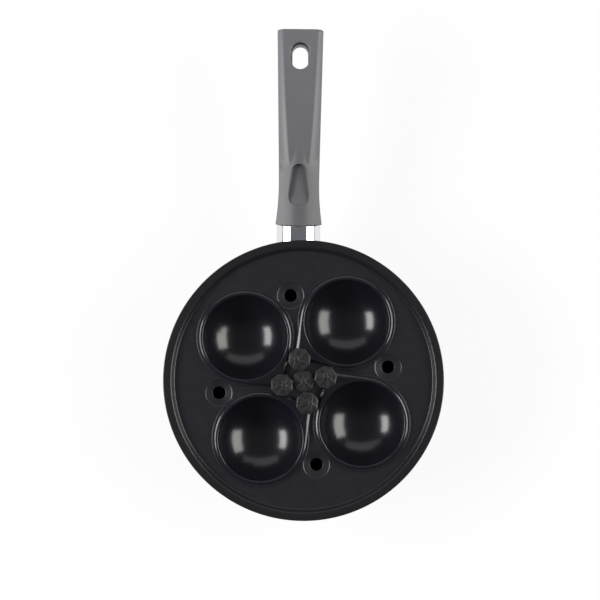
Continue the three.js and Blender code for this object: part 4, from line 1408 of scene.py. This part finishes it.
def ferrule_outline(inset):
    """The sleeve's section: a flat on top, two bevels a side, and a rounded underside."""
    half = GRIP_FRONT_HALF * FERRULE_SHARE
    top = GRIP_FRONT_TOP * FERRULE_SHARE
    bottom = GRIP_BOTTOM[0] * FERRULE_SHARE
    upper_drop, lower_drop = FERRULE_BEVEL_DROPS
    corners = [
        (FERRULE_FLAT_HALF, top), (FERRULE_BEVEL_HALF, top - upper_drop), (half, top - lower_drop),
        (half, bottom * FERRULE_SIDE_DEPTH), (half * FERRULE_HEEL[0], bottom * FERRULE_HEEL[1]),
        (half * FERRULE_SOLE, bottom),
    ]
    corners = [*corners, *[(-x, z) for x, z in reversed(corners)]]
    points = []
    for index, corner in enumerate(corners):
        here = np.array(corner)
        before = np.array(corners[index - 1]) - here
        after = np.array(corners[(index + 1) % len(corners)]) - here
        lengths = [np.linalg.norm(side) for side in (before, after)]
        reach = min(FERRULE_CORNER_REACH, *[FERRULE_CORNER_SHARE * length for length in lengths])
        first = here + before / lengths[0] * reach
        last = here + after / lengths[1] * reach
        for share in np.linspace(0, 1, ROUND_STEPS + 1):
            points.append((1 - share) ** 2 * first + 2 * share * (1 - share) * here + share ** 2 * last)
        for share in np.linspace(0, 1, EDGE_STEPS + 1)[1:-1]:
            points.append(last + (here + after - last) * share * FERRULE_FACE_SHARE)
    outline = np.array(points)
    size = np.linalg.norm(outline, axis=1, keepdims=True)
    return outline * (1 - inset / size)


def ferrule_height(outline, along):
    """Heights round the sleeve: its upper side is lifted towards the wall, so that its top is level."""
    low, high = FERRULE_SIDE
    share = np.clip((outline[:, 1] - low) / (high - low), 0, 1)
    return outline[:, 1] + share * (FERRULE_LENGTH - along) * math.tan(HANDLE_SLOPE)


def ferrule_start(outline, sizes):
    """Where each line along the sleeve meets the pan's wall, along the handle's axis."""
    place = np.array(handle_matrix(sizes))
    start = np.zeros(len(outline))
    ones = np.ones(len(outline))
    for _ in range(WALL_TRIES):
        line = np.column_stack((outline[:, 0], start, ferrule_height(outline, start), ones))
        x, y, height = (place @ line.T)[:3]
        start = start + wall_radius(sizes, height) + FERRULE_WALL_GAP - np.hypot(x, y)
    return start


def ferrule_mesh(sizes):
    end = FERRULE_LENGTH - WALL_GAP
    rounding = FERRULE_END_ROUND
    outer = ferrule_outline(0.0)
    inner = ferrule_outline(FERRULE_SHEET)
    start = ferrule_start(outer, sizes)
    shares = np.linspace(0, 1, FERRULE_STEPS + 1)
    lines = [(outer, start + (end - rounding - start) * share) for share in shares]
    for outset, push in arc((-rounding, 0.0), rounding, 0, math.pi / 2, EDGE_STEPS)[1:]:
        lines.append((ferrule_outline(-outset), np.full(len(outer), end - rounding + push)))
    lines.append((inner, np.full(len(inner), end)))
    lines.append((inner, ferrule_start(inner, sizes)))
    lines.append((outer, start))
    build = loft([np.column_stack((outline[:, 0], along, ferrule_height(outline, along)))
                  for outline, along in lines])
    bmesh.ops.transform(build, matrix=handle_matrix(sizes), verts=build.verts)
    return mesh_from("ferrule_sleeve", build)


# Fasteners


def screw_profile(name):
    """Profile of a screw up the Z axis, as large as its solid: a rounded head below, a plain shank."""
    low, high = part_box(name)
    head_radius = (high[0] - low[0]) / 2
    head = head_radius * SCREW_HEAD_SHARE
    shank = head_radius * SCREW_SHANK_SHARE
    length = high[2] - low[2]
    rounding = head * SCREW_ROUND_SHARE
    edge = arc((head_radius - rounding, rounding), rounding, -math.pi / 2, 0, EDGE_STEPS)
    tip = shank * SCREW_TIP_SHARE
    return [(0.0, 0.0), *edge, (head_radius, head), (shank, head), (shank, length - tip),
            (shank - tip, length), (0.0, length)]


def rivet_profile():
    """Profile of a rivet through the wall: a domed head inside, a flat tail on the bracket's foot."""
    inner = -PAN_SHEET - WALL_GAP
    outer = BRACKET_SHEET + 2 * WALL_GAP
    tail = outer + RIVET_TAIL_HEIGHT
    dome = [(RIVET_HEAD_RADIUS * math.sin(a), inner - RIVET_HEAD_HEIGHT * math.cos(a))
            for a in np.linspace(0, math.pi / 2, FINE_STEPS + 1)]
    return [
        *dome, (RIVET_SHANK_RADIUS, inner), (RIVET_SHANK_RADIUS, outer),
        (RIVET_TAIL_RADIUS, outer), (RIVET_TAIL_RADIUS, tail - RIVET_TAIL_BEVEL),
        (RIVET_TAIL_RADIUS - RIVET_TAIL_BEVEL, tail), (0.0, tail),
    ]


def rivet_turn(side, sizes):
    """Place and turn of a rivet: its axis points straight out of the wall."""
    radius = wall_radius(sizes, HANDLE_HEIGHT)
    angle = side * math.asin(RIVET_SPREAD / 2 / radius)
    place = (*on_circle(radius, angle), HANDLE_HEIGHT)
    turn = Matrix.Rotation(-angle, 3, "Z") @ Matrix.Rotation(-PAN_TAPER - math.pi / 2, 3, "X")
    return place, tuple(turn.to_euler())


# Operators


class EGGPAN_OT_pan_body(bpy.types.Operator):
    """Turns the pan body with its rounded rim and ringed base"""

    bl_idname = "egg_pan.pan_body"
    bl_label = "Pan Body"

    def execute(self, context):
        sizes = context.scene.egg_pan_sizes
        material = pan_finish(context.scene.egg_pan_colours)
        obj = turn_piece("pan_shell", turned_tree(), pan_profile(sizes), PAN_SIDES, material)
        place_piece(obj, "pan", "pan_coat", "pan_body")
        return {"FINISHED"}


class EGGPAN_OT_tray(bpy.types.Operator):
    """Presses the tray with its stepped flange, seats and dished vents"""

    bl_idname = "egg_pan.tray"
    bl_label = "Tray"

    def execute(self, context):
        sizes = context.scene.egg_pan_sizes
        material = tray_finish(tuple(context.scene.egg_pan_colours.tray_coat))
        obj = add_object("tray_plate", tray_mesh(sizes, Bowl(sizes), material))
        place_piece(obj, "tray", "tray_coat", "tray")
        return {"FINISHED"}


class EGGPAN_OT_cups(bpy.types.Operator):
    """Presses the four egg cups with their lifting tabs"""

    bl_idname = "egg_pan.cups"
    bl_label = "Cups"

    def execute(self, context):
        sizes = context.scene.egg_pan_sizes
        material = gloss_coat(tuple(context.scene.egg_pan_colours.cup_coat))
        bowl = Bowl(sizes)
        for index, name in enumerate(CUP_NAMES):
            obj = add_object(f"{name}_bowl", cup_mesh(index, bowl, material))
            place_piece(obj, name, "cup_coat", name)
        return {"FINISHED"}


class EGGPAN_OT_knobs(bpy.types.Operator):
    """Sets a faceted knob on each cup's tab and on the tray's middle"""

    bl_idname = "egg_pan.knobs"
    bl_label = "Knobs"

    def execute(self, context):
        sizes = context.scene.egg_pan_sizes
        material = knob_plastic(tuple(context.scene.egg_pan_colours.knob))
        tree = copy_tree()
        places = [((0.0, 0.0, PLATE_TOP), TRAY_KNOB_TURN, (0.0, 0.0), "tray", "tray_knob")]
        for index, cup in enumerate(CUP_NAMES):
            place = (*knob_centre(index), CUP_RIM_TOP)
            places.append((place, KNOB_TURNS[index], KNOB_LEANS[index], cup, f"{cup}_knob"))
        for place, turn, lean, body, node in places:
            pattern = knob_pattern(sizes, Matrix.Rotation(-turn, 2) @ Vector(lean))
            obj = grow(
                f"{node}_top", tree, pattern=pattern, place=place, turn=(0, 0, turn), finish=material)
            bpy.data.objects.remove(pattern)
            finish_mesh(obj.data, material, KNOB_CREASE)
            place_piece(obj, body, "knob_plastic", node)
        return {"FINISHED"}


class EGGPAN_OT_grip(bpy.types.Operator):
    """Moulds the grip with its panel, bevels, thumb dish and hanging slot"""

    bl_idname = "egg_pan.grip"
    bl_label = "Grip"

    def execute(self, context):
        sizes = context.scene.egg_pan_sizes
        colours = context.scene.egg_pan_colours
        material = grip_plastic(tuple(colours.grip))
        # Dark plastic for the slot's upper wall: painted shade
        bare = painted_slot_shade(tuple(colours.painted_slot_shade))
        obj = add_object("grip_moulding", grip_mesh(sizes))
        obj.data.materials.append(material)
        cut(obj, slot_cutter(sizes, material, bare))
        cut(obj, screw_room_cutter(sizes))
        finish_mesh(obj.data, None)
        place_piece(obj, "pan", "grip_plastic", "handle_grip")
        return {"FINISHED"}


class EGGPAN_OT_ferrule(bpy.types.Operator):
    """Forms the chromed sleeve between the pan and the grip"""

    bl_idname = "egg_pan.ferrule"
    bl_label = "Ferrule"

    def execute(self, context):
        sizes = context.scene.egg_pan_sizes
        material = chrome_plate(tuple(context.scene.egg_pan_colours.chrome))
        obj = add_object("ferrule_sleeve", ferrule_mesh(sizes))
        finish_mesh(obj.data, material)
        place_piece(obj, "pan", "ferrule_chrome", "ferrule")
        return {"FINISHED"}


class EGGPAN_OT_fasteners(bpy.types.Operator):
    """Turns the screws and rivets, and gives the bracket its finish"""

    bl_idname = "egg_pan.fasteners"
    bl_label = "Fasteners"

    def execute(self, context):
        sizes = context.scene.egg_pan_sizes
        colour = tuple(context.scene.egg_pan_colours.steel)
        material = brushed_steel("fastener_brushed_steel", colour)
        screws = slotted_tree()
        for body in ("tray", *CUP_NAMES):
            node = f"{body}_knob_screw"
            low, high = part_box(node)
            place = ((low[0] + high[0]) / 2, (low[1] + high[1]) / 2, low[2])
            self.screw(screws, node, body, place, (0, 0, 0), material)
        foot = handle_matrix(sizes) @ Vector((0, FERRULE_LENGTH + HANDLE_SCREW_AT, HANDLE_SCREW_FOOT))
        turn = (HANDLE_SLOPE, 0, -HANDLE_SWING)
        self.screw(screws, "handle_screw", "pan", tuple(foot), turn, material)
        rivets = turned_tree()
        for node, side in (("rivet_left", -1), ("rivet_right", 1)):
            place, turn = rivet_turn(side, sizes)
            obj = turn_piece(
                f"{node}_turned", rivets, rivet_profile(), FASTENER_SIDES, material, place, turn)
            place_piece(obj, "pan", "fastener_steel", node)
        bracket = brushed_steel("bracket_brushed_steel", shade(colour, BRACKET_TONE))
        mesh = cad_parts["handle_bracket"].data
        mesh.materials.clear()
        mesh.materials.append(bracket)
        return {"FINISHED"}

    def screw(self, tree, node, body, place, turn, material):
        low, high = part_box(node)
        width = high[0] - low[0]
        obj = turn_piece(
            f"{node}_turned", tree, screw_profile(node), FASTENER_SIDES, material, place, turn,
            slot_size=(SCREW_SLOT_WIDTH, 2 * width, 2 * SCREW_SLOT_DEPTH), slot_place=(0, 0, 0),
        )
        place_piece(obj, body, "fastener_steel", node)


class EGGPAN_OT_stage(bpy.types.Operator):
    """Sets up the pale floor, the soft boxes and the camera above"""

    bl_idname = "egg_pan.stage"
    bl_label = "Stage"

    def execute(self, context):
        scene = context.scene
        floor = self.floor(tuple(scene.egg_pan_colours.floor))
        for name, settings in SOFT_BOXES.items():
            self.soft_box(name, *settings)
        for name, settings in FILL_LIGHTS.items():
            self.soft_box(name, *settings).visible_glossy = False
        self.world(scene)
        self.camera(scene)
        scene.view_settings.view_transform = "Standard"
        return {"FINISHED"}

    def floor(self, colour):
        """A wide floor that the camera and shiny surfaces see as white, with the pan's shadow on it."""
        build = bmesh.new()
        signs = ((-1, -1), (1, -1), (1, 1), (-1, 1))
        build.faces.new([build.verts.new((FLOOR_REACH * x, FLOOR_REACH * y, 0)) for x, y in signs])
        mesh = bpy.data.meshes.new("floor")
        build.to_mesh(mesh)
        build.free()
        material = bpy.data.materials.new("studio_floor")
        material.use_nodes = True
        nodes = material.node_tree.nodes
        link = material.node_tree.links.new
        nodes.clear()
        path = nodes.new("ShaderNodeLightPath")
        share = nodes.new("ShaderNodeMath")
        share.operation = "MULTIPLY"
        share.inputs[1].default_value = FLOOR_GLOW
        paper = nodes.new("ShaderNodeBsdfDiffuse")
        paper.inputs["Color"].default_value = (*colour, 1.0)
        glow = nodes.new("ShaderNodeEmission")
        both = nodes.new("ShaderNodeMixShader")
        output = nodes.new("ShaderNodeOutputMaterial")
        seen = path.outputs["Is Camera Ray"]
        for kind in ("Is Glossy Ray", "Is Transmission Ray"):
            either = nodes.new("ShaderNodeMath")
            either.operation = "MAXIMUM"
            link(seen, either.inputs[0])
            link(path.outputs[kind], either.inputs[1])
            seen = either.outputs[0]
        link(seen, share.inputs[0])
        link(share.outputs[0], both.inputs[0])
        link(paper.outputs[0], both.inputs[1])
        link(glow.outputs[0], both.inputs[2])
        link(both.outputs[0], output.inputs["Surface"])
        mesh.materials.append(material)
        return add_object("floor", mesh)

    def soft_box(self, name, azimuth, elevation, distance, size, brightness, colour):
        """A soft box that faces the pan, at an azimuth from +X and an elevation, in degrees."""
        light = bpy.data.lights.new(name, "AREA")
        light.shape = "RECTANGLE"
        light.size, light.size_y = size
        light.energy = brightness * math.pi * size[0] * size[1]
        light.color = colour
        obj = add_object(name, light)
        turn = math.radians(azimuth)
        rise = math.radians(elevation)
        level = math.cos(rise)
        direction = Vector((level * math.cos(turn), level * math.sin(turn), math.sin(rise)))
        obj.location = direction * distance
        obj.rotation_euler = direction.to_track_quat("Z", "Y").to_euler()
        obj.visible_camera = False
        return obj

    def world(self, scene):
        """An even sky that darkens on the near side of the pan and pales where it meets the floor."""
        world = bpy.data.worlds.new("studio")
        world.use_nodes = True
        nodes = world.node_tree.nodes
        link = world.node_tree.links.new
        shader = nodes["Background"]
        shader.inputs["Color"].default_value = (*SKY_COLOUR, 1.0)
        direction = nodes.new("ShaderNodeTexCoord")
        parts = nodes.new("ShaderNodeSeparateXYZ")
        strength = nodes.new("ShaderNodeMath")
        strength.operation = "MAXIMUM"
        link(direction.outputs["Generated"], parts.inputs["Vector"])
        spreads = (("Y", NEAR_SKY_RANGE, (SKY_STRENGTH * NEAR_SKY_SHARE, SKY_STRENGTH)),
                   ("Z", HORIZON_RANGE, (HORIZON_GLOW, 0.0)))
        for target, (axis, from_range, to_range) in zip(strength.inputs, spreads):
            spread = nodes.new("ShaderNodeMapRange")
            set_ranges(spread, from_range, to_range)
            link(parts.outputs[axis], spread.inputs["Value"])
            link(spread.outputs["Result"], target)
        link(strength.outputs["Value"], shader.inputs["Strength"])
        scene.world = world

    def camera(self, scene):
        camera = bpy.data.cameras.new("above")
        camera.sensor_width = SENSOR
        camera.lens = SENSOR * VIEW_DISTANCE / VIEW_WIDTH
        camera.clip_start = CLIP_START
        camera.clip_end = 2 * FLOOR_REACH
        obj = add_object("above", camera)
        obj.location = (*VIEW_CENTRE, FLANGE_TOP + VIEW_DISTANCE)
        obj.rotation_euler = Euler((0.0, 0.0, VIEW_TURN))
        scene.camera = obj


class EGGPAN_PT_panel(bpy.types.Panel):
    """Lists the egg pan's pieces, sizes and colours"""

    bl_idname = "EGGPAN_PT_panel"
    bl_label = "Egg Pan"
    bl_space_type = "VIEW_3D"
    bl_region_type = "UI"
    bl_category = "Egg Pan"

    def draw(self, context):
        layout = self.layout
        for operator in OPERATORS:
            layout.operator(operator.bl_idname)
        for group in (context.scene.egg_pan_sizes, context.scene.egg_pan_colours):
            column = layout.column()
            for name in group.__annotations__:
                column.prop(group, name)


OPERATORS = (
    EGGPAN_OT_pan_body, EGGPAN_OT_tray, EGGPAN_OT_cups, EGGPAN_OT_knobs,
    EGGPAN_OT_grip, EGGPAN_OT_ferrule, EGGPAN_OT_fasteners, EGGPAN_OT_stage,
)
CLASSES = (EggPanSizes, EggPanColours, *OPERATORS, EGGPAN_PT_panel)


def register():
    for part in CLASSES:
        bpy.utils.register_class(part)
    bpy.types.Scene.egg_pan_sizes = bpy.props.PointerProperty(type=EggPanSizes)
    bpy.types.Scene.egg_pan_colours = bpy.props.PointerProperty(type=EggPanColours)


def unregister():
    del bpy.types.Scene.egg_pan_colours
    del bpy.types.Scene.egg_pan_sizes
    for part in reversed(CLASSES):
        bpy.utils.unregister_class(part)


def main():
    register()
    bpy.ops.egg_pan.pan_body()
    bpy.ops.egg_pan.tray()
    bpy.ops.egg_pan.cups()
    bpy.ops.egg_pan.knobs()
    bpy.ops.egg_pan.grip()
    bpy.ops.egg_pan.ferrule()
    bpy.ops.egg_pan.fasteners()
    bpy.ops.egg_pan.stage()


if __name__ == "__main__":
    main()
